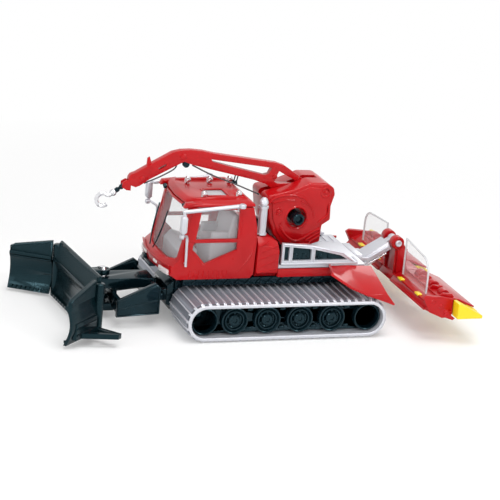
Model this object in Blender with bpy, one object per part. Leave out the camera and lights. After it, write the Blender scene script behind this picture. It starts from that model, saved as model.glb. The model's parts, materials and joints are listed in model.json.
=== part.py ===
"""Toy snow groomer with a winch boom, a folding front blade and a rear tiller.

The scene is in metres with +Z up.  Every size below is written in millimetres and
is scaled by MM where a mesh is made.  The machine drives towards -Y, its left side
is +X, and Z = 0 is the ground under the track bars.  The origin is the middle of
the footprint: ORIGIN_Y is how far the middle of the tracks stands behind it.
"""
import math

import bmesh
import bpy
from mathutils import Vector

MM = 0.001

# overall places
ORIGIN_Y = 11.3            # middle of the tracks, behind the origin
GAP = 0.3                  # clearance between pieces that touch
SIDE = {"left": 1, "right": -1}

# tracks and running gear
TRACK_OUTER = 42.0         # outer face of a track, from the middle plane
TRACK_WIDTH = 29.0
IDLER_Y = 41.0             # idler centre, before and behind the middle
LOOP_RADIUS = 8.8          # outside of the belt, without its bars
BELT = 1.7
BAR = 0.8                  # height of a bar above the belt
SHOES = 30
WHEELS = 4
WHEEL_PITCH = 16.1
WHEEL_SHIFT = -1.5         # the wheels stand a little ahead of the track's middle
WHEEL_INSET = 0.1          # from a wheel's rim to the edge of the plate that carries it
PLATE_FACE = TRACK_OUTER - 6.0
WHEEL_FACE = TRACK_OUTER - 2.7
AXLE_HEIGHT = LOOP_RADIUS + BAR
TRACK_TOP = 2 * AXLE_HEIGHT
TRACK_END = IDLER_Y + AXLE_HEIGHT

# chassis
CHASSIS_HALF = TRACK_OUTER - TRACK_WIDTH - GAP
CHASSIS_REACH = IDLER_Y + 6.0
CHASSIS_BOTTOM = 4.0
TUB_HALF = 20.0
TUB_BOTTOM = TRACK_TOP + 1.4
BODY_BOTTOM = 24.3         # underside of the red body and of the deck
TUB_TOP = BODY_BOTTOM - GAP
TUB_FRONT = -IDLER_Y - 5.0
TUB_REAR = IDLER_Y + 8.0
NOSE_HALF = 10.0           # block ahead of the tub that carries the ears

# cab
CAB_HALF = 22.0
CAB_WALL = 1.4
EAVES = 58.6               # open top of the cab casting, under the roof panel
ROOF_TOP = 61.6
CAB_REAR = -12.2
CAB_LEAN = 0.026           # how far a side leans in for each millimetre of height
GLASS = 0.9

# engine hood and rear deck
HOOD_TOP = 44.0
HOOD_REAR = -0.4
DECK_TOP = 30.2
DECK_REAR = IDLER_Y + 3.0
DECK_EDGE = 28.4           # top of the red edge under the silver deck
DECK_HALF = 22.0
RAIL = 1.6                 # thickness of the silver side frames

# winch
WINCH_Y = 12.0             # turning axis of the winch
WINCH_HALF = 11.0
WINCH_CLEAR = 0.8          # round the housing as it turns past the hood
RING_RADIUS = 9.5
RING_TOP = 36.0
DRUM_Y = 10.8
DRUM_Z = 50.2
DRUM_RADIUS = 3.2
BOOM_HALF = 1.7
HOOK_Y = -71.6             # pivot of the hook at the boom's nose
HOOK_Z = 64.0
ROPE = 0.7

# front blade
LIFT_Y = -TRACK_END - 2.9  # pivot of the push frame
LIFT_Z = 12.5
LIFT_EAR = 7.0             # inner face of each chassis ear that holds the push frame's axle
EAR = 2.2                  # thickness of those ears and of the arms beside them
AXLE_RADIUS = 1.2
PUSH_HALF = 19.0           # outer face of the push frame's side plates
POST_Y = LIFT_Y - 25.5     # upright pivot of the blade
POST_RADIUS = 2.0
EYE_RADIUS = 3.4           # outside of the blade's eyes round the post
BLADE_HALF = 28.0
BLADE_LEAD = 14.6          # front face of the blade, ahead of its pivot
BLADE_YAW = 5.0
BLADE_BOTTOM = 1.6
BLADE_TOP = 19.0
GUARD_TOP = 28.0
SHEET = 1.5
WING = 23.0                # hinge to tip
WING_FOLD = 53.0           # wings folded forward at rest
WING_GAP = 2.2             # from a wing's hinge to each of the sheets beside it
WING_HINGE_Y = POST_Y - BLADE_LEAD + SHEET + 0.9
KNUCKLE = WING_GAP - GAP   # the hinge barrel fills the gap between the sheets
KNUCKLE_LOW = 6.6          # the wing's barrel stands between the two barrels of the centre
KNUCKLE_HIGH = 14.0
LEVER_REACH = 16.0         # of the triangular lever behind each wing

# rear tiller
ARM_Y = DECK_REAR + 6.6    # pivot of the tiller's lifting arm
ARM_Z = 25.2
ARM_HALF = 4.6
EYE_Y = ARM_Y + 16.4       # pivot between the arm and the tiller
EYE_Z = 34.8
EAR_RADIUS = 3.2
ARM_PIN = 0.9
BRACKET_HALF = 7.0
TILLER_HALF = 50.4         # outer face of the red end plates
COMB_HALF = 56.0           # outer face of the yellow ends
SHIELD = 1.0


# ---------------------------------------------------------------- helpers

def material(name, colour, roughness, metallic=0.0, alpha=1.0):
    mat = bpy.data.materials.get(name)
    if mat is None:
        mat = bpy.data.materials.new(name)
        mat.use_nodes = True
        shader = mat.node_tree.nodes["Principled BSDF"]
        shader.inputs["Base Color"].default_value = (*colour, 1.0)
        shader.inputs["Roughness"].default_value = roughness
        shader.inputs["Metallic"].default_value = metallic
        shader.inputs["Alpha"].default_value = alpha
    return mat


def red():
    return material("red_paint", (0.70, 0.02, 0.02), 0.25)


def black():
    return material("black_plastic", (0.012, 0.016, 0.02), 0.3)


def silver():
    return material("silver_plastic", (0.55, 0.56, 0.58), 0.3, 0.5)


def clear():
    return material("clear_plastic", (0.9, 0.92, 0.93), 0.05, 0.0, 0.3)


def yellow():
    return material("yellow_plastic", (0.95, 0.75, 0.02), 0.35)


def grey():
    return material("grey_plastic", (0.6, 0.6, 0.62), 0.4)


def thread():
    return material("dark_thread", (0.03, 0.03, 0.03), 0.8)


def finish(name, bm, mat, smooth=True):
    """Turn a bmesh in millimetres into an object in metres, in the machine's frame."""
    bmesh.ops.recalc_face_normals(bm, faces=bm.faces)
    bmesh.ops.scale(bm, vec=(MM, MM, MM), verts=bm.verts)
    mesh = bpy.data.meshes.new(name)
    bm.to_mesh(mesh)
    bm.free()
    if smooth:
        mesh.shade_smooth()
        mesh.set_sharp_from_angle(angle=math.radians(35))
    mesh.materials.append(mat)
    obj = bpy.data.objects.new(name, mesh)
    bpy.context.collection.objects.link(obj)
    return obj


def tool(obj):
    """Hide a helper shape that only cuts or joins another."""
    obj.hide_render = True
    obj.display_type = "WIRE"
    return obj


def boolean(target, others, operation, solver="EXACT"):
    for other in others:
        mod = target.modifiers.new(operation.lower(), "BOOLEAN")
        mod.operation = operation
        mod.solver = solver
        mod.object = tool(other)
        other.parent = target
    return target


def cut(target, *cutters, solver="EXACT"):
    return boolean(target, cutters, "DIFFERENCE", solver)


def join(target, *others):
    return boolean(target, others, "UNION")


def prism(name, axis, outline, low, high, mat, smooth=False):
    """Extrude an outline along an axis; the outline is (y, z), (x, z) or (x, y)."""
    order = {"X": (2, 0, 1), "Y": (0, 2, 1), "Z": (0, 1, 2)}[axis]
    bm = bmesh.new()
    ends = []
    for level in (low, high):
        spots = [(a, b, level) for a, b in outline]
        ends.append([bm.verts.new([spot[i] for i in order]) for spot in spots])
    for ring in ends:
        bm.faces.new(ring)
    for i in range(len(outline)):
        j = (i + 1) % len(outline)
        bm.faces.new((ends[0][i], ends[0][j], ends[1][j], ends[1][i]))
    return finish(name, bm, mat, smooth)


def block(name, low, high, mat):
    outline = [(low[1], low[2]), (high[1], low[2]), (high[1], high[2]), (low[1], high[2])]
    return prism(name, "X", outline, low[0], high[0], mat)


def turned(name, profile, centre, axis, mat, steps=24):
    """Turn a profile of (distance along the axis, radius) pairs into a closed solid."""
    bm = bmesh.new()
    frame = Vector(axis).normalized().to_track_quat("Z", "Y").to_matrix()
    rings = []
    for along, radius in profile:
        if radius <= 0:
            rings.append([bm.verts.new(frame @ Vector((0, 0, along)) + Vector(centre))])
            continue
        ring = []
        for i in range(steps):
            a = math.tau * (i + 0.5) / steps
            spot = frame @ Vector((radius * math.cos(a), radius * math.sin(a), along))
            ring.append(bm.verts.new(spot + Vector(centre)))
        rings.append(ring)
    for lower, upper in zip(rings, rings[1:]):
        for i in range(steps):
            j = (i + 1) % steps
            corners = [lower[i % len(lower)], lower[j % len(lower)]]
            corners += [upper[j % len(upper)], upper[i % len(upper)]]
            corners = list(dict.fromkeys(corners))
            if len(corners) > 2:
                bm.faces.new(corners)
    for ring in (rings[0], rings[-1]):
        if len(ring) > 1:
            bm.faces.new(ring)
    return finish(name, bm, mat)


def rod(name, start, end, radius, mat, steps=12):
    along = Vector(end) - Vector(start)
    return turned(name, [(0, radius), (along.length, radius)], start, along, mat, steps)


def tube(name, points, radius, mat, resolution=2):
    """A bent bar along straight runs, as a bevelled curve made into a mesh by the build."""
    curve = bpy.data.curves.new(name, "CURVE")
    curve.dimensions = "3D"
    curve.bevel_depth = radius * MM
    curve.bevel_resolution = resolution
    curve.use_fill_caps = True
    spline = curve.splines.new("POLY")
    spline.points.add(len(points) - 1)
    for point, spot in zip(spline.points, points):
        point.co = (*(Vector(spot) * MM), 1.0)
    curve.materials.append(mat)
    obj = bpy.data.objects.new(name, curve)
    bpy.context.collection.objects.link(obj)
    return obj


def bar(name, points, radius, mat, sides=8):
    """A bent bar with mitred corners, as a mesh that other shapes can be joined to."""
    spots = [Vector(p) for p in points]
    runs = [(b - a).normalized() for a, b in zip(spots, spots[1:])]
    bm = bmesh.new()
    across = runs[0].orthogonal().normalized()
    rings = []
    for i, spot in enumerate(spots):
        before = runs[max(i - 1, 0)]
        after = runs[min(i, len(runs) - 1)]
        normal = (before + after).normalized()
        across = (across - before * across.dot(before)).normalized()
        upward = before.cross(across)
        ring = []
        for k in range(sides):
            a = math.tau * k / sides
            offset = radius * (across * math.cos(a) + upward * math.sin(a))
            offset -= before * (offset.dot(normal) / before.dot(normal))
            ring.append(bm.verts.new(spot + offset))
        rings.append(ring)
    for lower, upper in zip(rings, rings[1:]):
        for i in range(sides):
            j = (i + 1) % sides
            bm.faces.new((lower[i], lower[j], upper[j], upper[i]))
    bm.faces.new(rings[0])
    bm.faces.new(rings[-1])
    return finish(name, bm, mat)


def arc(centre, radius, start, end, steps):
    """Points on an arc, from one angle to another in degrees."""
    angles = [math.radians(start + (end - start) * i / steps) for i in range(steps + 1)]
    return [(centre[0] + radius * math.cos(a), centre[1] + radius * math.sin(a)) for a in angles]


def smooth_route(points, per_span=6):
    """A Catmull-Rom curve through a route's own points."""
    route = [Vector(p) for p in points]
    route = [2 * route[0] - route[1]] + route + [2 * route[-1] - route[-2]]
    out = []
    for a, b, c, d in zip(route, route[1:], route[2:], route[3:]):
        for i in range(per_span):
            t = i / per_span
            out.append(0.5 * ((2 * b) + (c - a) * t + (2 * a - 5 * b + 4 * c - d) * t * t
                              + (3 * b - a - 3 * c + d) * t ** 3))
    return out + [route[-2]]


def pivot(name, spot, parent, yaw=0.0):
    """An empty on a joint's axis, at a spot in the machine's frame."""
    empty = bpy.data.objects.new(name, None)
    empty.empty_display_size = 4 * MM
    bpy.context.collection.objects.link(empty)
    empty["spot"] = spot
    empty.location = Vector(spot) * MM
    empty.rotation_euler = (0, 0, math.radians(yaw))
    hang(empty, parent)
    return empty


def hang(obj, parent):
    """Parent a piece, drawn in the machine's frame as if no pivot were turned, to a pivot."""
    obj.parent = parent
    obj.location = obj.location - Vector(parent["spot"]) * MM


# ---------------------------------------------------------------- running gear

def stadium(radius, steps=12):
    front = arc((-IDLER_Y, AXLE_HEIGHT), radius, 270, 90, steps)
    rear = arc((IDLER_Y, AXLE_HEIGHT), radius, 90, -90, steps)
    return front + rear


def belt_point(distance, height):
    """A point on the belt's outside, a distance round the loop from the top front."""
    run = 2 * IDLER_Y
    bend = math.pi * LOOP_RADIUS
    distance %= 2 * (run + bend)
    radius = LOOP_RADIUS + height
    if distance < run:
        return (-IDLER_Y + distance, AXLE_HEIGHT + radius)
    if distance < run + bend:
        a = math.pi / 2 - (distance - run) / LOOP_RADIUS
        return (IDLER_Y + radius * math.cos(a), AXLE_HEIGHT + radius * math.sin(a))
    if distance < 2 * run + bend:
        return (IDLER_Y - (distance - run - bend), AXLE_HEIGHT - radius)
    a = -math.pi / 2 - (distance - 2 * run - bend) / LOOP_RADIUS
    return (-IDLER_Y + radius * math.cos(a), AXLE_HEIGHT + radius * math.sin(a))


def track(side, root):
    pitch = (4 * IDLER_Y + math.tau * LOOP_RADIUS) / SHOES
    outline = []
    for i in range(SHOES):
        start = (i + 0.5) * pitch
        # along the loop, height: the bar's foot and crest
        for along, height in ((0.0, 0.0), (0.30, BAR), (0.80, BAR), (1.10, 0.0), (0.5 * pitch + 0.5, 0.0)):
            outline.append(belt_point(start + along, height))
    sign = SIDE[side]
    low, high = sorted((sign * (TRACK_OUTER - TRACK_WIDTH), sign * TRACK_OUTER))
    loop = prism(f"track_{side}", "X", outline, low, high, silver())
    hole = prism(f"track_{side}_hole", "X", stadium(LOOP_RADIUS - BELT), low - 1, high + 1, silver())
    hang(cut(loop, hole), root)


def roller_frame(side, root):
    """The plate inside a track, with its wheels and two idlers in one moulding."""
    sign = SIDE[side]
    low, high = sorted((sign * (TRACK_OUTER - TRACK_WIDTH + GAP), sign * PLATE_FACE))
    inner = LOOP_RADIUS - BELT - GAP
    frame = prism(f"roller_frame_{side}", "X", stadium(inner, 10), low, high, black())
    rise = WHEEL_FACE - PLATE_FACE
    radius = inner - WHEEL_INSET
    outward = (sign, 0, 0)
    # distance out from the plate, radius
    wheel = [(-1, radius), (rise, radius), (rise, radius - 1), (rise - 1, radius - 2), (rise - 1, 3.2),
             (rise, 2.8), (rise, 0)]
    for i in range(WHEELS):
        place = (sign * PLATE_FACE, WHEEL_SHIFT + (i - (WHEELS - 1) / 2) * WHEEL_PITCH, AXLE_HEIGHT)
        join(frame, turned(f"wheel_{side}_{i}", wheel, place, outward, black(), 20))
    for end in (-1, 1):
        place = (sign * PLATE_FACE, end * IDLER_Y, AXLE_HEIGHT)
        idler = [(-1, radius), (rise, radius)]
        join(frame, turned(f"idler_{side}_{end}", idler, place, outward, black(), 24))
        recess = [(-9, radius - 1.4), (rise + 1, radius - 1.4)]
        cut(frame, turned(f"recess_{side}_{end}", recess, place, outward, black(), 24))
    hang(frame, root)


def chassis(root):
    """The black middle beam between the tracks, with the wide tub that carries the body."""
    low = (-CHASSIS_HALF, -CHASSIS_REACH, CHASSIS_BOTTOM)
    beam = block("chassis", low, (CHASSIS_HALF, CHASSIS_REACH, TUB_BOTTOM + 1), black())
    tub = block("chassis_tub", (-TUB_HALF, TUB_FRONT, TUB_BOTTOM), (TUB_HALF, TUB_REAR, TUB_TOP), black())
    nose = [(TUB_FRONT - 4, 8), (TUB_FRONT - 4, 17), (TUB_FRONT + 2, 21.5), (TUB_FRONT + 2, 5)]
    join(beam, tub)
    join(beam, prism("chassis_nose", "X", nose, -NOSE_HALF, NOSE_HALF, black()))
    for sign in (-1, 1):
        low, high = sorted((sign * LIFT_EAR, sign * (LIFT_EAR + EAR)))
        ear = [(TUB_FRONT - 3, 9.8), (TUB_FRONT - 3, 15.2), (LIFT_Y - 1, LIFT_Z + 2.4), (LIFT_Y - 2.4, LIFT_Z),
               (LIFT_Y - 1, LIFT_Z - 2.4)]
        join(beam, prism(f"chassis_ear_{sign}", "X", ear, low, high, black()))
    bore = [(-12, AXLE_RADIUS + GAP), (12, AXLE_RADIUS + GAP)]
    cut(beam, turned("chassis_bore", bore, (0, LIFT_Y, LIFT_Z), (1, 0, 0), black(), 16))
    hang(beam, root)


# ---------------------------------------------------------------- cab

# (y, z) round a cab side, from the foot of the nose
CAB_SIDE = [(-50.0, BODY_BOTTOM), (-53.0, 26.6), (-53.2, 30.0), (-49.6, 33.2), (-46.6, 46.0), (-44.2, EAVES),
            (CAB_REAR - 2.4, EAVES), (CAB_REAR, 48.5), (CAB_REAR + 0.3, 41.0),
            (CAB_REAR - 0.2, BODY_BOTTOM + 2.0), (CAB_REAR - 1.8, BODY_BOTTOM)]


def cab_half(z):
    """Half the cab's width at a height."""
    return CAB_HALF - (z - BODY_BOTTOM) * CAB_LEAN


def cab_shell_mesh(name, inset, mat):
    """The cab's outer form: its nose bows forward in the middle and its sides lean in above the sill."""
    stations = [-1.0, -0.8, -0.45, 0.0, 0.45, 0.8, 1.0]
    bm = bmesh.new()
    rings = []
    for station in stations:
        ring = []
        for y, z in CAB_SIDE:
            front = y < -40
            bow = (CAB_BOW if front else 0.0) * (1 - station * station)
            y_in = y + (inset if front else -inset)
            z_in = z + (inset if z < 30 or z > 55 else 0)
            half = cab_half(z_in) - inset
            ring.append(bm.verts.new((station * half, y_in - bow, z_in)))
        rings.append(ring)
    count = len(CAB_SIDE)
    for a, b in zip(rings, rings[1:]):
        for i in range(count):
            j = (i + 1) % count
            bm.faces.new((a[i], a[j], b[j], b[i]))
    bm.faces.new(rings[0])
    bm.faces.new(rings[-1])
    bmesh.ops.triangulate(bm, faces=bm.faces)
    return finish(name, bm, mat, False)


UPPER_WINDOW = [(-42.0, 44.2), (-39.6, 57.2), (-22.3, 57.2), (-22.3, 44.2)]
LOWER_WINDOW = [(-43.2, 38.6), (-43.0, 41.2), (-22.3, 41.2), (-22.3, 38.8), (-36.8, 32.6)]
# z, half the opening's width, y of the pane at the middle plane
SCREEN = [(32.2, CAB_HALF - 12.0, -53.5), (33.6, CAB_HALF - 3.4, -53.0), (45.0, CAB_HALF - 4.6, -50.4),
          (57.6, CAB_HALF - 5.0, -47.9)]
REAR_OPENING = CAB_HALF - 7.0   # half the width of the rear window's hole
CAB_BOW = 3.4              # how far the cab's front bows forward in the middle


def cab_body(root):
    """Red cab casting: hollow, with its windows cut and its roof opening left for the roof."""
    shell = cab_shell_mesh("cab_body", 0.0, red())
    cut(shell, cab_shell_mesh("cab_hollow", CAB_WALL, red()), solver="MANIFOLD")
    wide = CAB_HALF + 2
    cut(shell, prism("cab_upper_windows", "X", UPPER_WINDOW, -wide, wide, red()), solver="MANIFOLD")
    cut(shell, prism("cab_lower_windows", "X", LOWER_WINDOW, -wide, wide, red()), solver="MANIFOLD")
    screen = [(half, z) for z, half, y in SCREEN] + [(-half, z) for z, half, y in reversed(SCREEN)]
    cut(shell, prism("cab_screen_hole", "Y", screen, -60, -42, red()), solver="MANIFOLD")
    rear = block("cab_rear_hole", (-REAR_OPENING, -18, 42), (REAR_OPENING, -8, 55), red())
    cut(shell, rear, solver="MANIFOLD")
    hang(shell, root)


def cab_roof(root):
    """Roof panel with a visor that points forward at both corners, and a square hatch."""
    low = EAVES + GAP
    half = cab_half(EAVES)
    rear = CAB_REAR - 1.6
    outline = [(-half, rear), (half, rear), (half, -40.0), (half - 0.6, -44.6), (12.0, -46.4), (0.0, -47.2),
               (-12.0, -46.4), (0.6 - half, -44.6), (-half, -40.0)]
    bm = bmesh.new()
    rings = []
    for z, scale in ((low, 1.0), (low + 1.2, 1.0), (ROOF_TOP, 0.86)):
        rings.append([bm.verts.new((x * scale, (y + 30) * scale - 30, z)) for x, y in outline])
    for a, b in zip(rings, rings[1:]):
        for i in range(len(outline)):
            j = (i + 1) % len(outline)
            bm.faces.new((a[i], a[j], b[j], b[i]))
    bm.faces.new(rings[0])
    bm.faces.new(rings[-1])
    roof = finish("cab_roof", bm, red(), False)
    hatch_low = Vector((1.0, -35.0, low))
    hatch_high = Vector((12.0, -24.0, ROOF_TOP - 0.5))
    above = Vector((0, 0, 2))
    cut(roof, block("roof_hatch_hole", hatch_low - above, hatch_high + above, red()))
    hang(roof, root)
    inset = Vector((GAP, GAP, 0))
    hang(block("roof_hatch", hatch_low + inset, hatch_high - inset, clear()), root)


def side_window(side, root):
    """One clear pane behind both openings of a cab side."""
    sign = SIDE[side]
    bm = bmesh.new()
    rows = []
    for z in (30.5, 58.0):
        half = cab_half(z) - CAB_WALL - GAP
        rows.append([(sign * half, -44.2 + (z - 33) * 0.17, z), (sign * half, -20.8, z),
                     (sign * (half - GLASS), -20.8, z), (sign * (half - GLASS), -44.2 + (z - 33) * 0.17, z)])
    rings = [[bm.verts.new(p) for p in row] for row in rows]
    for a, b in zip(rings, rings[1:]):
        for i in range(4):
            j = (i + 1) % 4
            bm.faces.new((a[i], a[j], b[j], b[i]))
    bm.faces.new(rings[0])
    bm.faces.new(rings[-1])
    hang(finish(f"side_window_{side}", bm, clear(), False), root)


def windscreen(root):
    """The big bowed front pane; it stands in its opening, flush with the cab's face."""
    rings = []
    bm = bmesh.new()
    last = len(SCREEN) - 1
    for i, (z, half, y) in enumerate(SCREEN):
        level = z + (GAP if i == 0 else 0) - (GAP if i == last else 0)
        outer = []
        for step in range(9):
            x = (step - 4) / 4 * (half - GAP)
            outer.append(Vector((x, y + 0.4 + CAB_BOW * (x / (CAB_HALF - 1.0)) ** 2, level)))
        inner = [p + Vector((0, GLASS, 0)) for p in reversed(outer)]
        rings.append([bm.verts.new(p) for p in outer + inner])
    count = len(rings[0])
    for a, b in zip(rings, rings[1:]):
        for i in range(count):
            j = (i + 1) % count
            bm.faces.new((a[i], a[j], b[j], b[i]))
    bm.faces.new(rings[0])
    bm.faces.new(rings[-1])
    hang(finish("windscreen", bm, clear(), False), root)


def cab_glass(root):
    windscreen(root)
    for side in SIDE:
        side_window(side, root)
    half = REAR_OPENING - GAP
    rear = block("rear_window", (-half, CAB_REAR - 1.5, 42 + GAP), (half, CAB_REAR - 1.5 + GLASS, 55 - GAP), clear())
    hang(rear, root)


def cab_inside(root):
    """Seat and console, standing on the cab's floor."""
    floor = BODY_BOTTOM + CAB_WALL + GAP
    seat = [(-32, floor), (-32, 38), (-31, 40), (-24, 39.4), (-21.6, 53), (-18.8, 53), (-19.0, floor)]
    hang(prism("cab_seat", "X", seat, -6, 14, grey()), root)
    desk = [(-46, floor), (-46.0, 34), (-43.0, 37.5), (-38, 36), (-38, floor)]
    hang(prism("cab_console", "X", desk, -14, 14, grey()), root)


def side_rail(side, root):
    """Silver moulding on a cab side: grab rail under the eaves, mirror on its arm, upright handrail."""
    sign = SIDE[side]
    x = CAB_HALF + 1.4
    arm = x + 4.0
    rail = bar(f"side_rail_{side}", [(sign * x, -50.0, 57.6), (sign * x, -19.6, 60.4)], 0.75, silver())
    upright = [(x, -49.4, 57.7), (arm, -50.4, 55.5), (arm, -50.4, 47.6), (x, -47.0, 46.2), (x, -46.8, 31.4)]
    join(rail, bar(f"mirror_arm_{side}", [(sign * a, b, c) for a, b, c in upright], 0.6, silver()))
    low, high = sorted((sign * (arm - 1.8), sign * (arm + 1.8)))
    join(rail, block(f"mirror_head_{side}", (low, -52.2, 48.8), (high, -49.2, 57.0), silver()))
    # the two feet that stand on the cab's side: y, z at the cab, z at the rail
    for y, foot, top in ((-22.5, 57.6, 60.0), (-46.8, 32.6, 32.6)):
        start = (sign * (cab_half(foot) + GAP), y, foot)
        join(rail, rod(f"rail_foot_{side}_{foot}", start, (sign * x, y, top), 0.5, silver(), 8))
    hang(rail, root)


# ---------------------------------------------------------------- rear body

# (y, z) round the winch housing's side
WINCH_SIDE = [(-4.6, 59.4), (-3.8, 60.9), (8.4, 63.8), (16.8, 67.2), (24.7, 67.0), (28.8, 64.4), (29.6, 61.2),
              (28.1, 55.5), (28.4, 48.6), (24.4, 46.0), (24.1, 37.8), (18.4, RING_TOP), (5.0, RING_TOP),
              (0.1, 41.8), (-3.1, 49.7)]


def winch_swing(height):
    """Radius that the housing's corners sweep as it turns, up to a height."""
    reach = [y for y, z in WINCH_SIDE if z <= height]
    for (ya, za), (yb, zb) in zip(WINCH_SIDE, WINCH_SIDE[1:] + WINCH_SIDE[:1]):
        if (za - height) * (zb - height) < 0:
            reach.append(ya + (yb - ya) * (height - za) / (zb - za))
    return max(math.hypot(WINCH_HALF, y - WINCH_Y) for y in reach)


def engine_hood(root):
    """Red hood between the cab and the winch, with creased sides and a round recess for the winch."""
    low = BODY_BOTTOM
    half = CAB_HALF + 0.6
    outline = [(-half, 27.0), (-half, 40.4), (-half + 3.5, HOOD_TOP), (half - 3.5, HOOD_TOP), (half, 40.4),
               (half, 27.0), (half - 3.0, low), (-half + 3.0, low)]
    bm = bmesh.new()
    rings = []
    # y, how far the upper corners drop
    for y, drop in ((CAB_REAR + 1.0, 0.0), (HOOD_REAR - 4.5, 0.6), (HOOD_REAR, 3.0)):
        rings.append([bm.verts.new((x, y, z - (drop if z > 35 else 0.0))) for x, z in outline])
    for a, b in zip(rings, rings[1:]):
        for i in range(len(outline)):
            j = (i + 1) % len(outline)
            bm.faces.new((a[i], a[j], b[j], b[i]))
    bm.faces.new(rings[0])
    bm.faces.new(rings[-1])
    hood = finish("engine_hood", bm, red(), False)
    swing = winch_swing(HOOD_TOP) + WINCH_CLEAR
    recess = [(RING_TOP - WINCH_CLEAR, swing), (HOOD_TOP + 1, swing)]
    cut(hood, turned("hood_recess", recess, (0, WINCH_Y, 0), (0, 0, 1), red(), 48))
    hang(hood, root)


def exhaust(root):
    # height above the hood, radius
    profile = [(0, 2.8), (13.4, 2.8), (13.6, 2.2), (14.6, 2.2), (14.8, 2.8), (16.4, 2.5), (17.6, 1.4),
               (18.0, 0)]
    hang(turned("exhaust", profile, (CAB_HALF - 5.0, -8.4, HOOD_TOP + GAP), (0, 0, 1), silver(), 20), root)


def rear_deck(root):
    """Silver deck with its red edge below, the open side frames and the winch ring."""
    front = HOOD_REAR + GAP
    edge = block("deck_edge", (-DECK_HALF, front, BODY_BOTTOM), (DECK_HALF, DECK_REAR, DECK_EDGE), red())
    hang(edge, root)
    deck = block("deck", (-DECK_HALF, front, DECK_EDGE + GAP), (DECK_HALF, DECK_REAR, DECK_TOP), silver())
    hang(deck, root)
    for side, sign in SIDE.items():
        base = DECK_TOP + GAP
        outline = [(1.2, base), (1.2, 41.0), (15.7, 39.8), (32.2, 36.0), (39.0, base)]
        low, high = sorted((sign * (DECK_HALF - RAIL), sign * DECK_HALF))
        frame = prism(f"deck_side_{side}", "X", outline, low, high, silver())
        for i, window in enumerate(([(2.4, 32.4), (2.4, 39.4), (4.9, 39.2), (4.9, 32.4)],
                                    [(6.6, 32.4), (6.6, 39.0), (16.0, 38.0), (16.2, 32.4)],
                                    [(18.0, 32.4), (18.0, 37.6), (31.0, 34.6), (35.0, 32.4)])):
            cut(frame, prism(f"deck_window_{side}_{i}", "X", window, low - 1, high + 1, silver()))
        hang(frame, root)
    ring = [(0, RING_RADIUS), (RING_TOP - DECK_TOP - 2 * GAP, RING_RADIUS)]
    hang(turned("winch_ring", ring, (0, WINCH_Y, DECK_TOP + GAP), (0, 0, 1), black(), 32), root)


def rear_fender(side, root):
    """Swept fender over the rear end of a track, drawn out to a tip behind it."""
    sign = SIDE[side]
    # upper skin, front edge to rear edge: distance behind the rear idler, z
    inner = [(-23.6, 33.0), (-11.0, 32.4), (1.0, 31.6), (6.0, 27.0)]
    outer = [(-21.4, TRACK_TOP + 12.2), (-11.0, TRACK_TOP + 6.8), (0.0, TRACK_TOP + 3.0),
             (11.2, TRACK_TOP - 1.8)]
    thickness = 1.4
    bm = bmesh.new()
    grid = []
    for layer in (0.0, -thickness):
        rows = []
        for x, row in ((DECK_HALF + 0.6, inner), (TRACK_OUTER, outer)):
            rows.append([bm.verts.new((sign * x, IDLER_Y + y, z + layer)) for y, z in row])
        grid.append(rows)
    count = len(inner)
    top, bottom = grid
    for i in range(count - 1):
        bm.faces.new((top[0][i], top[0][i + 1], top[1][i + 1], top[1][i]))
        bm.faces.new((bottom[0][i], bottom[0][i + 1], bottom[1][i + 1], bottom[1][i]))
        for row in (0, 1):
            bm.faces.new((top[row][i], top[row][i + 1], bottom[row][i + 1], bottom[row][i]))
    for i in (0, count - 1):
        bm.faces.new((top[0][i], top[1][i], bottom[1][i], bottom[0][i]))
    bmesh.ops.triangulate(bm, faces=bm.faces)
    hang(finish(f"rear_fender_{side}", bm, red(), False), root)


def tow_block(root):
    """Red and silver rear wall of the deck, which carries the tiller's arm."""
    wall = block("tow_block", (-9.0, DECK_REAR + GAP, BODY_BOTTOM), (9.0, ARM_Y - 2.6, 30.0), silver())
    for sign in (-1, 1):
        low, high = sorted((sign * (ARM_HALF + 2 * GAP), sign * (ARM_HALF + 2.6)))
        ear_low = (low, ARM_Y - 3.2, ARM_Z - 0.8)
        join(wall, block(f"tow_ear_{sign}", ear_low, (high, ARM_Y + 2.0, ARM_Z + 2.6), silver()))
    pin = [(-8, ARM_PIN + GAP), (8, ARM_PIN + GAP)]
    cut(wall, turned("tow_bore", pin, (0, ARM_Y, ARM_Z), (1, 0, 0), silver(), 14))
    hang(wall, root)


# ---------------------------------------------------------------- winch and boom

def winch(slew):
    """Red winch housing, turning on its ring, with the drum's hole through both sides."""
    housing = prism("winch_housing", "X", WINCH_SIDE, -WINCH_HALF, WINCH_HALF, red())
    bore = [(-WINCH_HALF - 1, DRUM_RADIUS + 0.6), (WINCH_HALF + 1, DRUM_RADIUS + 0.6)]
    cut(housing, turned("drum_bore", bore, (0, DRUM_Y, DRUM_Z), (1, 0, 0), red(), 24))
    slot = BOOM_HALF + GAP
    cut(housing, block("boom_slot", (-slot, -0.6, 58.6), (slot, 23.0, 70.0), red()))
    hang(housing, slew)


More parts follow.
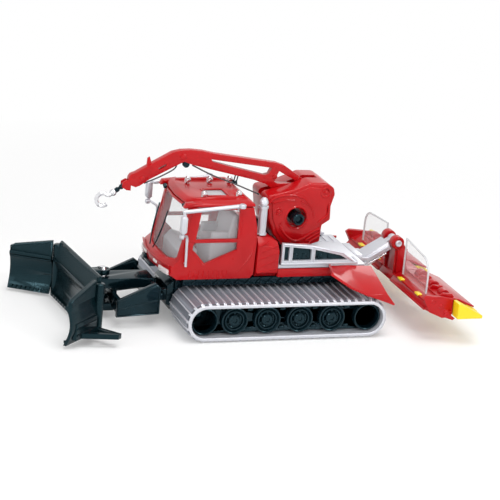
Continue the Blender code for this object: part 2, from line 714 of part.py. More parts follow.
def boom(slew):
    """Flat boom with a knee, two openings behind it and a slot near the nose."""
    outline = [(-66.8, 63.0), (-64.8, 63.7), (-60.3, 66.8), (-46.6, 73.9), (-43.9, 75.2), (-39.8, 73.6),
               (-8.8, 66.1), (-2.7, 64.0), (0.8, 61.6), (4.4, 61.4), (4.4, 59.0), (22.6, 59.0), (22.4, 62.0),
               (6.2, 72.9), (2.1, 74.3), (-29.0, 78.9), (-35.0, 80.2), (-41.1, 80.8), (-46.0, 80.6),
               (-49.9, 79.7), (-60.8, 73.6), (-66.8, 70.1)]
    outline += arc((-66.8, 66.55), 3.55, 110, 250, 6)[1:-1]
    beam = prism("boom", "X", outline, -BOOM_HALF, BOOM_HALF, red())
    holes = ([(-30.7, 76.2), (-30.0, 75.0), (-3.6, 68.3), (-1.4, 68.8), (0.0, 71.8)],
             [(3.6, 70.2), (1.6, 65.0), (3.4, 64.2), (12.4, 64.0), (12.6, 65.4)],
             [(-56.4, 72.2), (-52.4, 74.3), (-52.8, 73.0), (-56.0, 71.3)])
    for i, hole in enumerate(holes):
        cut(beam, prism(f"boom_hole_{i}", "X", hole, -BOOM_HALF - 1, BOOM_HALF + 1, red()))
    fin = [(-61.6, 76.6), (-60.6, 77.4), (-59.4, 74.0), (-61.8, 72.6)]
    join(beam, prism("boom_fin", "X", fin, -0.6, 0.6, red()))
    for sign in (-1, 1):
        ear = [(-69.0, 65.6), (-69.0, 61.4), (-71.0, 61.6), (-73.2, 63.0), (-73.2, 65.4), (-71.0, 66.6)]
        low, high = sorted((sign * 0.9, sign * BOOM_HALF))
        join(beam, prism(f"boom_ear_{sign}", "X", ear, low, high, red()))
    hang(beam, slew)


def ropes(slew):
    """The thread from the drum to the knee, and from the knee to the nose."""
    rear = smooth_route([(0, -4.6 - GAP, 58.4), (0, -18.9, 64.2), (0, -29.0, 68.0), (0, -39.4, 73.0)])
    hang(tube("rope_rear", rear, ROPE / 2, thread()), slew)
    front = smooth_route([(0, -47.0, 73.0), (0, -48.6, 70.9), (0, -54.7, 67.6), (0, -62.3, 64.4)])
    hang(tube("rope_front", front, ROPE / 2, thread()), slew)


def drum(spin):
    """Black drum shaft with a knurled knob at each side."""
    end = WINCH_HALF + 1.8
    profile = [(-end, DRUM_RADIUS - 0.4), (-end + 0.4, DRUM_RADIUS), (end - 0.4, DRUM_RADIUS),
               (end, DRUM_RADIUS - 0.4), (end, 1.4), (end - 1.2, 1.2), (end - 1.2, 0)]
    hang(turned("winch_drum", profile, (0, DRUM_Y, DRUM_Z), (1, 0, 0), black(), 20), spin)


def hook(swing):
    """Silver hook with its eye, held in the boom's nose by a black ferrule."""
    tip = Vector((0, HOOK_Y, HOOK_Z))
    away = Vector((0, -10.6, -7.6)).normalized()
    ferrule = turned("hook_ferrule", [(-0.9, 0.7), (2.6, 0.9), (5.4, 0.9)], tip + away * 1.0, away, black(), 12)
    hang(ferrule, swing)
    shank = tip + away * (6.4 + GAP)
    curl = [shank, shank + away * 3.4]
    centre = shank + away * 6.6
    base = math.atan2(-away.z, -away.y)
    for i in range(11):
        a = base + math.radians(30 + 27 * i)
        curl.append(centre + Vector((0, 3.0 * math.cos(a), 3.0 * math.sin(a))))
    hang(tube("hook", curl, 0.75, silver(), 3), swing)


# ---------------------------------------------------------------- front blade

def push_frame(lift):
    """Black push frame: two tall side plates, an upper beam and the socket of the blade's pivot."""
    post = POST_RADIUS + GAP
    beam = block("push_frame", (-6.0, POST_Y - 3.4, 15.2), (6.0, LIFT_Y - 2.0, 19.8), black())
    plate = [(LIFT_Y - 2.6, 6.5), (LIFT_Y - 2.6, 19.8), (LIFT_Y - 5.0, 21.6), (POST_Y + 2.4, 13.4),
             (POST_Y + 2.4, 5.4)]
    for sign in (-1, 1):
        low, high = sorted((sign * (PUSH_HALF - 2.0), sign * PUSH_HALF))
        join(beam, prism(f"push_plate_{sign}", "X", plate, low, high, black()))
    across = PUSH_HALF - 1.0
    web = POST_Y + EYE_RADIUS + 0.6
    for name, low, high in (("rear", (-across, LIFT_Y - 4.6, 9.0), (across, LIFT_Y - 2.8, 19.0)),
                            ("front", (-across, POST_Y + 3.6, 6.0), (across, POST_Y + 5.4, 13.0)),
                            ("web", (-5.4, web, 7.0), (5.4, web + 2.0, 16.0)),
                            ("lower", (-5.6, POST_Y - 3.2, 4.0), (5.6, POST_Y + 5.0, 7.4))):
        join(beam, block(f"push_{name}", low, high, black()))
    arm = LIFT_EAR + EAR + GAP
    rise = AXLE_RADIUS + 0.6
    for sign in (-1, 1):
        low, high = sorted((sign * arm, sign * (arm + EAR)))
        arm_low = (low, LIFT_Y - 4.0, LIFT_Z - rise)
        join(beam, block(f"push_arm_{sign}", arm_low, (high, LIFT_Y + rise, LIFT_Z + rise), black()))
    end = arm + EAR - 0.2
    join(beam, rod("push_axle", (-end, LIFT_Y, LIFT_Z), (end, LIFT_Y, LIFT_Z), AXLE_RADIUS, black(), 12))
    socket = [(3.0, post), (21.0, post)]
    cut(beam, turned("post_socket", socket, (0, POST_Y, 0), (0, 0, 1), black(), 20))
    hang(beam, lift)


def blade_sheet(name, low, high):
    """A straight run of mouldboard along X: hollow at the front, with a lip along its top."""
    hollow = 2.4
    steps = 8
    front = POST_Y - BLADE_LEAD
    face = []
    for i in range(steps + 1):
        t = i / steps
        z = BLADE_BOTTOM + (BLADE_TOP - BLADE_BOTTOM) * t
        face.append((front + hollow * math.sin(math.pi * t) - 0.8 * (1 - t), z))
    rear = [(y + SHEET, z) for y, z in reversed(face)]
    lip = [(front - 0.7, BLADE_TOP), (front - 0.7, BLADE_TOP + 1.0), (front + SHEET, BLADE_TOP + 1.0)]
    return prism(name, "X", face[:-1] + lip + rear[1:], low, high, black())


def blade_centre(swivel):
    half = BLADE_HALF - WING_GAP
    centre = blade_sheet("blade_centre", -half, half)
    back = POST_Y - BLADE_LEAD + SHEET
    guard = [(back - 1.4, BLADE_TOP - 1.0), (back - 1.4, BLADE_TOP + 0.4), (back + 1.0, GUARD_TOP),
             (back + 2.2, GUARD_TOP), (back + 1.8, BLADE_TOP - 1.0)]
    join(centre, prism("blade_guard", "X", guard, -half, half, black()))
    join(centre, block("blade_back", (-16.0, back, 4.6), (16.0, back + 4.8, 15.0), black()))
    for i, z in enumerate((9.0, 20.6)):
        join(centre, block(f"blade_tongue_{i}", (-2.6, back + 1.0, z), (2.6, POST_Y, z + 2.4), black()))
        eye = [(z, EYE_RADIUS), (z + 2.4, EYE_RADIUS)]
        join(centre, turned(f"blade_eye_{i}", eye, (0, POST_Y, 0), (0, 0, 1), black(), 20))
    bore = [(0, POST_RADIUS + GAP), (30, POST_RADIUS + GAP)]
    cut(centre, turned("blade_bore", bore, (0, POST_Y, 0), (0, 0, 1), black(), 20))
    for sign in (-1, 1):
        for i, (low, high) in enumerate(((BLADE_BOTTOM + 0.4, KNUCKLE_LOW), (KNUCKLE_HIGH, GUARD_TOP - 2.0))):
            spot = (sign * BLADE_HALF, WING_HINGE_Y, 0)
            knuckle = [(low, KNUCKLE), (high, KNUCKLE)]
            join(centre, turned(f"centre_knuckle_{sign}_{i}", knuckle, spot, (0, 0, 1), black(), 14))
            x = sorted((sign * (half - 1.0), sign * BLADE_HALF))
            leaf_low = (x[0], WING_HINGE_Y - 0.5, low + 0.1)
            leaf_high = (x[1], WING_HINGE_Y + 0.7, min(high, BLADE_TOP) - 0.1)
            join(centre, block(f"centre_leaf_{sign}_{i}", leaf_low, leaf_high, black()))
    hang(centre, swivel)


def blade_post(lift):
    """Upright pin through the push frame and the blade's two eyes."""
    pin = [(4.4, POST_RADIUS), (24.0, POST_RADIUS)]
    hang(turned("blade_post", pin, (0, POST_Y, 0), (0, 0, 1), black(), 16), lift)


def blade_wing(side, wing_pivot):
    """Folding wing: mouldboard, hinge barrel, box and lever behind it, and a guard that tapers to the tip."""
    sign = SIDE[side]
    hinge = sign * BLADE_HALF
    near = sign * (BLADE_HALF + WING_GAP)
    far = sign * (BLADE_HALF + WING)
    wing = blade_sheet(f"blade_wing_{side}", *sorted((near, far)))
    back = POST_Y - BLADE_LEAD + SHEET
    guard = [(near, BLADE_TOP - 1.0), (far, BLADE_TOP - 1.0), (far, 22.6), (far - sign * 2.0, 23.4),
             (near, GUARD_TOP)]
    join(wing, prism(f"wing_guard_{side}", "Y", guard, back - 1.2, back + 0.4, black()))
    low, high = sorted((near + sign * 1.0, far - sign * 3.0))
    join(wing, block(f"wing_back_{side}", (low, back - 0.5, 4.0), (high, back + 2.6, 12.0), black()))
    knuckle = [(KNUCKLE_LOW + GAP, KNUCKLE), (KNUCKLE_HIGH - GAP, KNUCKLE)]
    join(wing, turned(f"wing_knuckle_{side}", knuckle, (hinge, WING_HINGE_Y, 0), (0, 0, 1), black(), 14))
    low, high = sorted((hinge, near + sign * 2.0))
    leaf_low = (low, WING_HINGE_Y - 0.5, KNUCKLE_LOW + 0.5)
    leaf_high = (high, WING_HINGE_Y + 0.7, KNUCKLE_HIGH - 2.2)
    join(wing, block(f"wing_leaf_{side}", leaf_low, leaf_high, black()))
    # plan of the lever and of its triangular hole: distance out from the hinge, distance behind the sheet
    lever = [(3.2, 0.5), (16.0, 0.5), (16.0, 3.0), (5.6, LEVER_REACH), (3.2, LEVER_REACH)]
    hole = [(5.8, 5.0), (10.4, 5.0), (5.8, 10.8)]
    plan = [(hinge + sign * x, back + y) for x, y in lever]
    gap = [(hinge + sign * x, back + y) for x, y in hole]
    join(wing, prism(f"wing_lever_{side}", "Z", plan, 4.2, 6.6, black()))
    cut(wing, prism(f"lever_hole_{side}", "Z", gap, 3.0, 8.0, black()))
    hang(wing, wing_pivot)


# ---------------------------------------------------------------- rear tiller

def lift_arm(rear_lift):
    """Silver arm from the deck to the tiller's eye, with a round rod beside it."""
    a = Vector((0, ARM_Y, ARM_Z))
    b = Vector((0, EYE_Y, EYE_Z))
    along = (b - a).normalized()
    across = Vector((0, -along.z, along.y))
    width = 1.9
    end = b - along * (EAR_RADIUS + 0.6)
    outline = [tuple((p + across * w).yz) for p, w in ((a, -width), (end, -width), (end, width), (a, width))]
    arm = prism("lift_arm", "X", outline, -ARM_HALF, ARM_HALF, silver())
    root = end - along
    outline = [tuple((p + across * w).yz) for p, w in ((root, -1.5), (b, -1.5), (b, 1.5), (root, 1.5))]
    join(arm, prism("lift_tongue", "X", outline, -1.8, 1.8, silver()))
    join(arm, rod("lift_knuckle", (-1.8, EYE_Y, EYE_Z), (1.8, EYE_Y, EYE_Z), 2.2, silver(), 16))
    ends = BRACKET_HALF + 0.6
    join(arm, rod("tiller_pin", (-ends, EYE_Y, EYE_Z), (ends, EYE_Y, EYE_Z), ARM_PIN, silver(), 12))
    join(arm, rod("lift_hinge", (-ARM_HALF, ARM_Y, ARM_Z), (ARM_HALF, ARM_Y, ARM_Z), width, silver(), 16))
    join(arm, rod("lift_pin", (-7.6, ARM_Y, ARM_Z), (7.6, ARM_Y, ARM_Z), ARM_PIN, silver(), 12))
    hang(arm, rear_lift)
    offset = across * -3.4
    low = a + offset + along * 0.5
    high = b + offset - along * 6.6
    rod_piece = rod("lift_rod", (3.0, low.y, low.z), (3.0, high.y, high.z), 0.9, silver(), 12)
    hang(rod_piece, rear_lift)


# (distance behind the arm's eye, z) round each section of the tiller
TILLER_SIDE = [(-2.4, 16.4), (-0.6, 19.0), (5.6, 21.6), (13.0, 21.0), (16.6, 17.4), (15.0, 14.6), (3.0, 13.6)]
END_PLATE = [(-3.6, 22.4), (-2.0, 23.4), (5.6, 22.6), (11.6, 21.4), (11.8, 14.0), (10.0, 12.4),
             (7.0, 12.2), (0.0, 15.4)]
COMB_SIDE = [(17.0, 17.4), (19.4, 17.7), (25.2, 14.7), (25.0, 13.4), (15.6, 13.4), (15.5, 14.6)]
COMB_END = [(12.2, 20.8), (13.6, 20.8), (25.2, 14.7), (25.0, 13.4), (12.2, 13.4)]


def tiller_section(table):
    return [(EYE_Y + y, z) for y, z in table]


def tiller_bracket(tilt):
    """Red fork round the arm's eye, and the box below it that carries both halves."""
    inner = 1.8 + GAP
    low = (-BRACKET_HALF, EYE_Y + 0.4, 17.6)
    body = block("tiller_bracket", low, (BRACKET_HALF, EYE_Y + 5.4, EYE_Z - 3.2), red())
    foot = BRACKET_HALF - 0.2
    join(body, prism("bracket_foot", "X", tiller_section(TILLER_SIDE), -foot, foot, red()))
    for sign in (-1, 1):
        low, high = sorted((sign * (inner + 1.2), sign * (BRACKET_HALF - 0.1)))
        join(body, rod(f"tiller_ear_{sign}", (low, EYE_Y, EYE_Z), (high, EYE_Y, EYE_Z), EAR_RADIUS, red(), 20))
        neck = [(EYE_Y - 1.6, EYE_Z - 2.0), (EYE_Y + 2.8, EYE_Z), (EYE_Y + 5.2, EYE_Z - 3.6),
                (EYE_Y + 0.6, EYE_Z - 5.0)]
        join(body, prism(f"tiller_neck_{sign}", "X", neck, low + 0.1, high - 0.1, red()))
    pin = [(-BRACKET_HALF - 1, ARM_PIN + GAP), (BRACKET_HALF + 1, ARM_PIN + GAP)]
    cut(body, turned("tiller_ear_bore", pin, (0, EYE_Y, EYE_Z), (1, 0, 0), red(), 14))
    hang(body, tilt)


def tiller_half(side, tilt):
    """Half of the red tiller housing, with round lugs along its top and a hooked plate at its end."""
    sign = SIDE[side]
    low, high = sorted((sign * (BRACKET_HALF + GAP), sign * (TILLER_HALF - 1.0)))
    half = prism(f"tiller_half_{side}", "X", tiller_section(TILLER_SIDE), low, high, red())
    low, high = sorted((sign * (TILLER_HALF - 1.8), sign * TILLER_HALF))
    join(half, prism(f"tiller_end_plate_{side}", "X", tiller_section(END_PLATE), low, high, red()))
    lug_y = EYE_Y + 10.0
    lug_z = 21.4
    # start from the middle plane, radius
    for i, (x, radius) in enumerate(((14.0, 3.0), (28.0, 2.6), (40.0, 2.4))):
        low, high = sorted((sign * x, sign * (x + 4.0)))
        join(half, rod(f"tiller_lug_{side}_{i}", (low, lug_y, lug_z), (high, lug_y, lug_z), radius, red(), 14))
    hang(half, tilt)


def tiller_comb(side, tilt):
    """Yellow finishing comb that trails behind one half, with a wedge at its outer end."""
    sign = SIDE[side]
    low, high = sorted((sign * 8.0, sign * (COMB_HALF - 0.2)))
    comb = prism(f"tiller_comb_{side}", "X", tiller_section(COMB_SIDE), low, high, yellow())
    low, high = sorted((sign * (TILLER_HALF - 1.0 + GAP), sign * COMB_HALF))
    join(comb, prism(f"tiller_wedge_{side}", "X", tiller_section(COMB_END), low, high, yellow()))
    hang(comb, tilt)


def tiller_shield(side, tilt):
    """Clear shield standing along the front of one half; its inner top corner is sharp."""
    sign = SIDE[side]
    base = 20.7
    front = EYE_Y + 1.6
    outline = [(12.0, base), (12.0, 39.0), (34.0, 37.0)] + arc((33.0, 30.0), 7.0, 80, 0, 5) + [(40.0, base)]
    outline = [(sign * x, z) for x, z in outline]
    hang(prism(f"tiller_shield_{side}", "Y", outline, front, front + SHIELD, clear()), tilt)


# ---------------------------------------------------------------- assembly

def build():
    for obj in list(bpy.data.objects):
        bpy.data.objects.remove(obj, do_unlink=True)

    machine = bpy.data.objects.new("machine", None)
    bpy.context.collection.objects.link(machine)
    machine.location = (0, ORIGIN_Y * MM, 0)
    machine["spot"] = (0.0, 0.0, 0.0)
    chassis(machine)
    cab_body(machine)
    cab_roof(machine)
    cab_glass(machine)
    cab_inside(machine)
    engine_hood(machine)
    exhaust(machine)
    rear_deck(machine)
    tow_block(machine)
    for side in SIDE:
        track(side, machine)
        roller_frame(side, machine)
        rear_fender(side, machine)
        side_rail(side, machine)

    slew = pivot("winch_slew", (0, WINCH_Y, RING_TOP), machine)
    winch(slew)
    boom(slew)
    ropes(slew)
    drum(pivot("drum_spin", (0, DRUM_Y, DRUM_Z), slew))
    hook(pivot("hook_swing", (0, HOOK_Y, HOOK_Z), slew))

    lift = pivot("blade_lift", (0, LIFT_Y, LIFT_Z), machine)
    push_frame(lift)
    blade_post(lift)
    swivel = pivot("blade_swivel", (0, POST_Y, LIFT_Z), lift, BLADE_YAW)
    blade_centre(swivel)
    for side, sign in SIDE.items():
        hinge = (sign * BLADE_HALF, WING_HINGE_Y, LIFT_Z)
        blade_wing(side, pivot(f"wing_fold_{side}", hinge, swivel, -sign * WING_FOLD))

    rear_lift = pivot("tiller_lift", (0, ARM_Y, ARM_Z), machine)
    lift_arm(rear_lift)
    tilt = pivot("tiller_pitch", (0, EYE_Y, EYE_Z), rear_lift)
    tiller_bracket(tilt)
    for side in SIDE:
        tiller_half(side, tilt)
        tiller_comb(side, tilt)
        tiller_shield(side, tilt)


build()
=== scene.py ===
import json
import math

import bpy
from mathutils import Matrix, Quaternion, Vector

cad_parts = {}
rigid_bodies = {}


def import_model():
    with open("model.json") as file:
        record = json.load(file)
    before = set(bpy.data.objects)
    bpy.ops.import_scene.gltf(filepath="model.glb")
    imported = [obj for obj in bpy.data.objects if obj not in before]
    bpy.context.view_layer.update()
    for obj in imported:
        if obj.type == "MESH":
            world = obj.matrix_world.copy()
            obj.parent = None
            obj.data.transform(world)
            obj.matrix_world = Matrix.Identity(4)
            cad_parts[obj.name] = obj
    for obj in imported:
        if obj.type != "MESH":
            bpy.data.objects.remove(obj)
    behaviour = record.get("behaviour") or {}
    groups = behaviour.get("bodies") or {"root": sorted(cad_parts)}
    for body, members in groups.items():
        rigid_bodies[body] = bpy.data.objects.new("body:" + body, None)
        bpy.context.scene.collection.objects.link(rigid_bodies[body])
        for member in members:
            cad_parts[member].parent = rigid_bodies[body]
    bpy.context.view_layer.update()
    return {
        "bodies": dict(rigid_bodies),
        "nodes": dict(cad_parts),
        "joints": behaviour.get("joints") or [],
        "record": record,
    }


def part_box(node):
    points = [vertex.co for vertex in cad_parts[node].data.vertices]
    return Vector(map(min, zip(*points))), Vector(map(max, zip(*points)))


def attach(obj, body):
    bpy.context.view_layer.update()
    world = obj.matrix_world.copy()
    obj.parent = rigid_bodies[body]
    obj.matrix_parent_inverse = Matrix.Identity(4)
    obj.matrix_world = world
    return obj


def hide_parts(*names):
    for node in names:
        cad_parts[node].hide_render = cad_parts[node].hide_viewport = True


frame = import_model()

nodes = frame["nodes"]
record = frame["record"]

# lengths are written in millimetres from the middle of the tracks, +X left and -Y ahead
mm = 0.001
trackLow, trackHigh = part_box("track_left")
trackMiddle = (trackLow.y + trackHigh.y) / 2 / mm

slotOf = {}
for row in record["subparts"]:
    slotOf[row["node"]] = row["material_slot"]
bodyOf = {}
for bodyName, held in record["behaviour"]["bodies"].items():
    for nodeName in held:
        bodyOf[nodeName] = bodyName


# shader maths: a wrapped socket, so that finishes can be written as expressions
class Wire:
    def __init__(self, tree, socket):
        self.tree = tree
        self.socket = socket

    def math(self, operation, other=None, flip=False):
        node = self.tree.nodes.new("ShaderNodeMath")
        node.operation = operation
        pair = [self, other] if not flip else [other, self]
        for slot, value in zip(node.inputs, pair):
            if isinstance(value, Wire):
                self.tree.links.new(value.socket, slot)
            elif value is not None:
                slot.default_value = value
        return Wire(self.tree, node.outputs[0])

    def __add__(self, other):
        return self.math("ADD", other)

    def __sub__(self, other):
        return self.math("SUBTRACT", other)

    def __mul__(self, other):
        return self.math("MULTIPLY", other)

    def __truediv__(self, other):
        return self.math("DIVIDE", other)

    def __gt__(self, other):
        return self.math("GREATER_THAN", other)

    def __lt__(self, other):
        return self.math("LESS_THAN", other)

    def __rsub__(self, other):
        return self.math("SUBTRACT", other, flip=True)

    __radd__ = __add__
    __rmul__ = __mul__


class Finish:
    def __init__(self, name, **fixed):
        self.material = bpy.data.materials.new(name)
        self.material.use_nodes = True
        self.tree = self.material.node_tree
        self.shader = self.tree.nodes["Principled BSDF"]
        for key, value in fixed.items():
            self.shader.inputs[key].default_value = value
        coords = self.tree.nodes.new("ShaderNodeTexCoord")
        self.place = Wire(self.tree, coords.outputs["Object"])

    # any other node: its type, its settings, then the values or links of its sockets
    def node(self, kind, settings=None, output=0, **sockets):
        node = self.tree.nodes.new(kind)
        for key, value in (settings or {}).items():
            if key == "stops":
                ramp = node.color_ramp
                for i, (place, colour) in enumerate(value):
                    stop = ramp.elements[i] if i < 2 else ramp.elements.new(place)
                    stop.position = place
                    stop.color = colour
            else:
                setattr(node, key, value)
        for key, value in sockets.items():
            slot = node.inputs[int(key[1:])] if key[0] == "_" else node.inputs[key]
            if isinstance(value, Wire):
                self.tree.links.new(value.socket, slot)
            else:
                slot.default_value = value
        return Wire(self.tree, node.outputs[output])

    def noise(self, scale, detail=3.0, roughness=0.5):
        return self.node("ShaderNodeTexNoise", Vector=self.place, Scale=scale, Detail=detail, Roughness=roughness)

    def blend(self, factor, first, second):
        return self.node("ShaderNodeMix", {"data_type": "RGBA"}, 2, _0=factor, _6=(*first, 1.0), _7=(*second, 1.0))

    def feed(self, **sockets):
        names = {"colour": "Base Color", "roughness": "Roughness", "metallic": "Metallic", "alpha": "Alpha",
                 "normal": "Normal", "coat": "Coat Weight", "glow": "Emission Color"}
        for key, wire in sockets.items():
            self.tree.links.new(wire.socket, self.shader.inputs[names[key]])

    def bump(self, height, strength, distance):
        return self.node("ShaderNodeBump", Height=height, Strength=strength, Distance=distance)


def redPaint():
    # sprayed and clear-coated zinc: a little darker in thin places, orange peel under the coat
    look = {"deep": (0.38, 0.0015, 0.004), "bright": (0.53, 0.004, 0.007), "mottle": 90.0, "peel": 900.0}
    f = Finish("red_paint", **{"Coat Weight": 0.3, "Coat Roughness": 0.04, "IOR": 1.42, "Specular IOR Level": 0.2})
    f.feed(colour=f.blend(f.noise(look["mottle"]), look["deep"], look["bright"]),
           roughness=f.noise(220.0) * 0.12 + 0.24,
           normal=f.bump(f.noise(look["peel"], 1.0), 0.10, 0.00005))
    return f.material


def blackPlastic():
    look = {"deep": (0.001, 0.004, 0.006), "bright": (0.003, 0.012, 0.017), "grain": 1400.0, "sheen": (0.5, 0.85, 1.0, 1.0)}
    f = Finish("black_plastic", **{"IOR": 1.46, "Specular IOR Level": 0.4, "Specular Tint": look["sheen"]})
    f.feed(colour=f.blend(f.noise(120.0), look["deep"], look["bright"]),
           roughness=f.noise(260.0) * 0.10 + 0.08,
           normal=f.bump(f.noise(look["grain"], 2.0), 0.12, 0.00004))
    return f.material


def bladePlastic():
    # the blade is moulded in a bluer black than the frames and is a little duller
    look = {"deep": (0.001, 0.005, 0.007), "bright": (0.002, 0.010, 0.013), "grain": 1100.0, "sheen": (0.45, 0.85, 1.0, 1.0)}
    f = Finish("blade_plastic", **{"IOR": 1.44, "Specular IOR Level": 0.4, "Specular Tint": look["sheen"]})
    f.feed(colour=f.blend(f.noise(100.0), look["deep"], look["bright"]),
           roughness=f.noise(240.0) * 0.14 + 0.14,
           normal=f.bump(f.noise(look["grain"], 2.0), 0.14, 0.00004))
    return f.material


def silverPlastic():
    look = {"deep": (0.50, 0.51, 0.56), "bright": (0.66, 0.67, 0.71), "flake": 2600.0}
    f = Finish("silver_plastic", **{"IOR": 1.5})
    flake = f.noise(look["flake"], 1.0)
    f.feed(colour=f.blend(f.noise(60.0) * 0.6 + flake * 0.4, look["deep"], look["bright"]),
           roughness=flake * 0.16 + 0.26,
           metallic=flake * 0.2 + 0.30,
           normal=f.bump(f.noise(700.0), 0.08, 0.00005))
    return f.material


def paintedShadeSilver():
    # the belt between the shoes, painted darker than the shoes as painted shade
    f = Finish("painted_shade_silver", **{"IOR": 1.5})
    f.feed(colour=f.blend(f.noise(150.0), (0.07, 0.075, 0.09), (0.13, 0.135, 0.155)),
           roughness=f.noise(400.0) * 0.2 + 0.38,
           normal=f.bump(f.noise(800.0), 0.15, 0.00006))
    return f.material


def trackSilver():
    # the pads of the shoes are a more metallic silver than the ridges and rims, and darker as painted shade between the
    # ridges
    look = {"deep": (0.19, 0.205, 0.245), "bright": (0.33, 0.35, 0.40)}
    f = Finish("track_silver", **{"IOR": 1.5, "Specular IOR Level": 0.35})
    f.feed(colour=f.blend(f.noise(80.0), look["deep"], look["bright"]),
           roughness=f.noise(500.0) * 0.16 + 0.26,
           metallic=f.noise(200.0) * 0.15 + 0.35,
           normal=f.bump(f.noise(700.0), 0.1, 0.00005))
    return f.material


def clearPlastic():
    look = {"clear": 0.10, "cloud": 0.06}
    f = Finish("clear_plastic", **{"IOR": 1.46})
    f.feed(colour=f.blend(f.noise(50.0), (0.80, 0.82, 0.85), (0.90, 0.92, 0.94)),
           roughness=f.noise(160.0) * 0.04 + 0.03,
           alpha=f.noise(90.0) * look["cloud"] + look["clear"])
    return f.material


def clearEdge():
    # the cut edge of a clear sheet gathers light and looks milky
    f = Finish("clear_edge", **{"IOR": 1.46})
    f.feed(colour=f.blend(f.noise(300.0), (0.66, 0.68, 0.70), (0.84, 0.86, 0.88)),
           roughness=f.noise(500.0) * 0.2 + 0.15,
           alpha=f.noise(200.0) * 0.15 + 0.62)
    return f.material


def yellowPlastic():
    f = Finish("yellow_plastic", **{"IOR": 1.5})
    f.feed(colour=f.blend(f.noise(80.0), (0.84, 0.62, 0.006), (0.93, 0.74, 0.014)),
           roughness=f.noise(240.0) * 0.15 + 0.28,
           normal=f.bump(f.noise(900.0), 0.12, 0.00005))
    return f.material


def greyPlastic():
    f = Finish("grey_plastic", **{"IOR": 1.48})
    f.feed(colour=f.blend(f.noise(100.0), (0.42, 0.43, 0.45), (0.56, 0.57, 0.60)),
           roughness=f.noise(300.0) * 0.2 + 0.4,
           normal=f.bump(f.noise(1500.0), 0.2, 0.00005))
    return f.material


def lampLens():
    # pale moulded lenses with fine flutes
    f = Finish("lamp_lens", **{"IOR": 1.5})
    flutes = f.node("ShaderNodeTexWave", {"bands_direction": "X"}, 1, Vector=f.place, Scale=420.0, Distortion=0.0)
    f.feed(colour=f.blend(flutes * 0.4 + f.noise(200.0) * 0.3, (0.72, 0.62, 0.62), (0.90, 0.86, 0.85)),
           roughness=flutes * 0.1 + 0.1,
           normal=f.bump(flutes, 0.3, 0.00008))
    return f.material


def brightChrome():
    f = Finish("bright_chrome", **{"IOR": 1.5})
    f.feed(colour=f.blend(f.noise(300.0), (0.62, 0.62, 0.65), (0.82, 0.82, 0.84)),
           roughness=f.noise(500.0) * 0.1 + 0.12,
           metallic=f.noise(100.0) * 0.1 + 0.85)
    return f.material


def darkThread():
    f = Finish("dark_thread", **{"Sheen Weight": 0.3})
    twist = f.node("ShaderNodeTexWave", {"bands_direction": "DIAGONAL"}, 1, Vector=f.place, Scale=900.0, Distortion=0.4)
    f.feed(colour=f.blend(twist, (0.02, 0.02, 0.022), (0.10, 0.10, 0.11)),
           roughness=twist * 0.2 + 0.6,
           normal=f.bump(twist, 0.5, 0.0001))
    return f.material


def guardMesh():
    # the blade's guards are moulded as a fine mesh: a raised grid on a sheet, with the grid painted lighter as painted
    # highlight and the sheet between its lines darker as painted shade
    look = {"pitch": 900.0, "deep": (0.001, 0.004, 0.006), "bright": (0.012, 0.028, 0.034), "sheen": (0.45, 0.85, 1.0, 1.0)}
    f = Finish("guard_mesh", **{"IOR": 1.45, "Specular IOR Level": 0.3, "Specular Tint": look["sheen"]})
    up = f.node("ShaderNodeTexWave", {"bands_direction": "Z"}, 1, Vector=f.place, Scale=look["pitch"], Distortion=0.0)
    over = f.node("ShaderNodeTexWave", {"bands_direction": "X"}, 1, Vector=f.place, Scale=look["pitch"], Distortion=0.0)
    grid = up.math("MAXIMUM", over)
    f.feed(colour=f.blend(grid * grid, look["deep"], look["bright"]),
           roughness=grid * 0.1 + 0.28,
           normal=f.bump(grid, 0.6, 0.0002))
    return f.material


finishes = {"red_paint": redPaint(), "black_plastic": blackPlastic(), "silver_plastic": silverPlastic(),
            "clear_plastic": clearPlastic(), "yellow_plastic": yellowPlastic(), "grey_plastic": greyPlastic(),
            "dark_thread": darkThread(), "blade_plastic": bladePlastic(), "painted_shade_silver": paintedShadeSilver(),
            "track_silver": trackSilver(), "clear_edge": clearEdge(), "lamp_lens": lampLens(), "bright_chrome": brightChrome(),
            "guard_mesh": guardMesh()}
print("finishes made")


def dressNodes():
    for name, obj in nodes.items():
        for slot in obj.material_slots:
            slot.material = finishes[slotOf[name]]


dressNodes()
bpy.ops.object.select_all(action="DESELECT")
print("nodes dressed")


# modelling

def spot(x, y, z):
    return Vector((x, y + trackMiddle, z)) * mm


def openMesh(obj):
    bpy.ops.object.select_all(action="DESELECT")
    obj.select_set(True)
    bpy.context.view_layer.objects.active = obj
    bpy.ops.object.mode_set(mode="EDIT")
    bpy.ops.mesh.select_all(action="SELECT")


def closeMesh():
    bpy.ops.object.mode_set(mode="OBJECT")


# a flat outline pushed through to a thickness; it is (y, z), (x, z) or (x, y), as its axis says
def cutOut(outline, axis, low, high):
    order = {"X": (2, 0, 1), "Y": (0, 2, 1), "Z": (0, 1, 2)}[axis]
    bpy.ops.mesh.primitive_circle_add(vertices=len(outline), fill_type="NGON")
    obj = bpy.context.object
    for vert, (a, b) in zip(obj.data.vertices, outline):
        place = (a, b, low)
        vert.co = spot(*[place[i] for i in order])
    push = [0.0, 0.0, 0.0]
    push["XYZ".index(axis)] = (high - low) * mm
    openMesh(obj)
    bpy.ops.mesh.extrude_region_move(TRANSFORM_OT_translate={"value": push})
    bpy.ops.mesh.select_all(action="SELECT")
    bpy.ops.mesh.normals_make_consistent(inside=False)
    closeMesh()
    return obj


def block(low, high):
    return cutOut([(low[1], low[2]), (high[1], low[2]), (high[1], high[2]), (low[1], high[2])], "X", low[0], high[0])


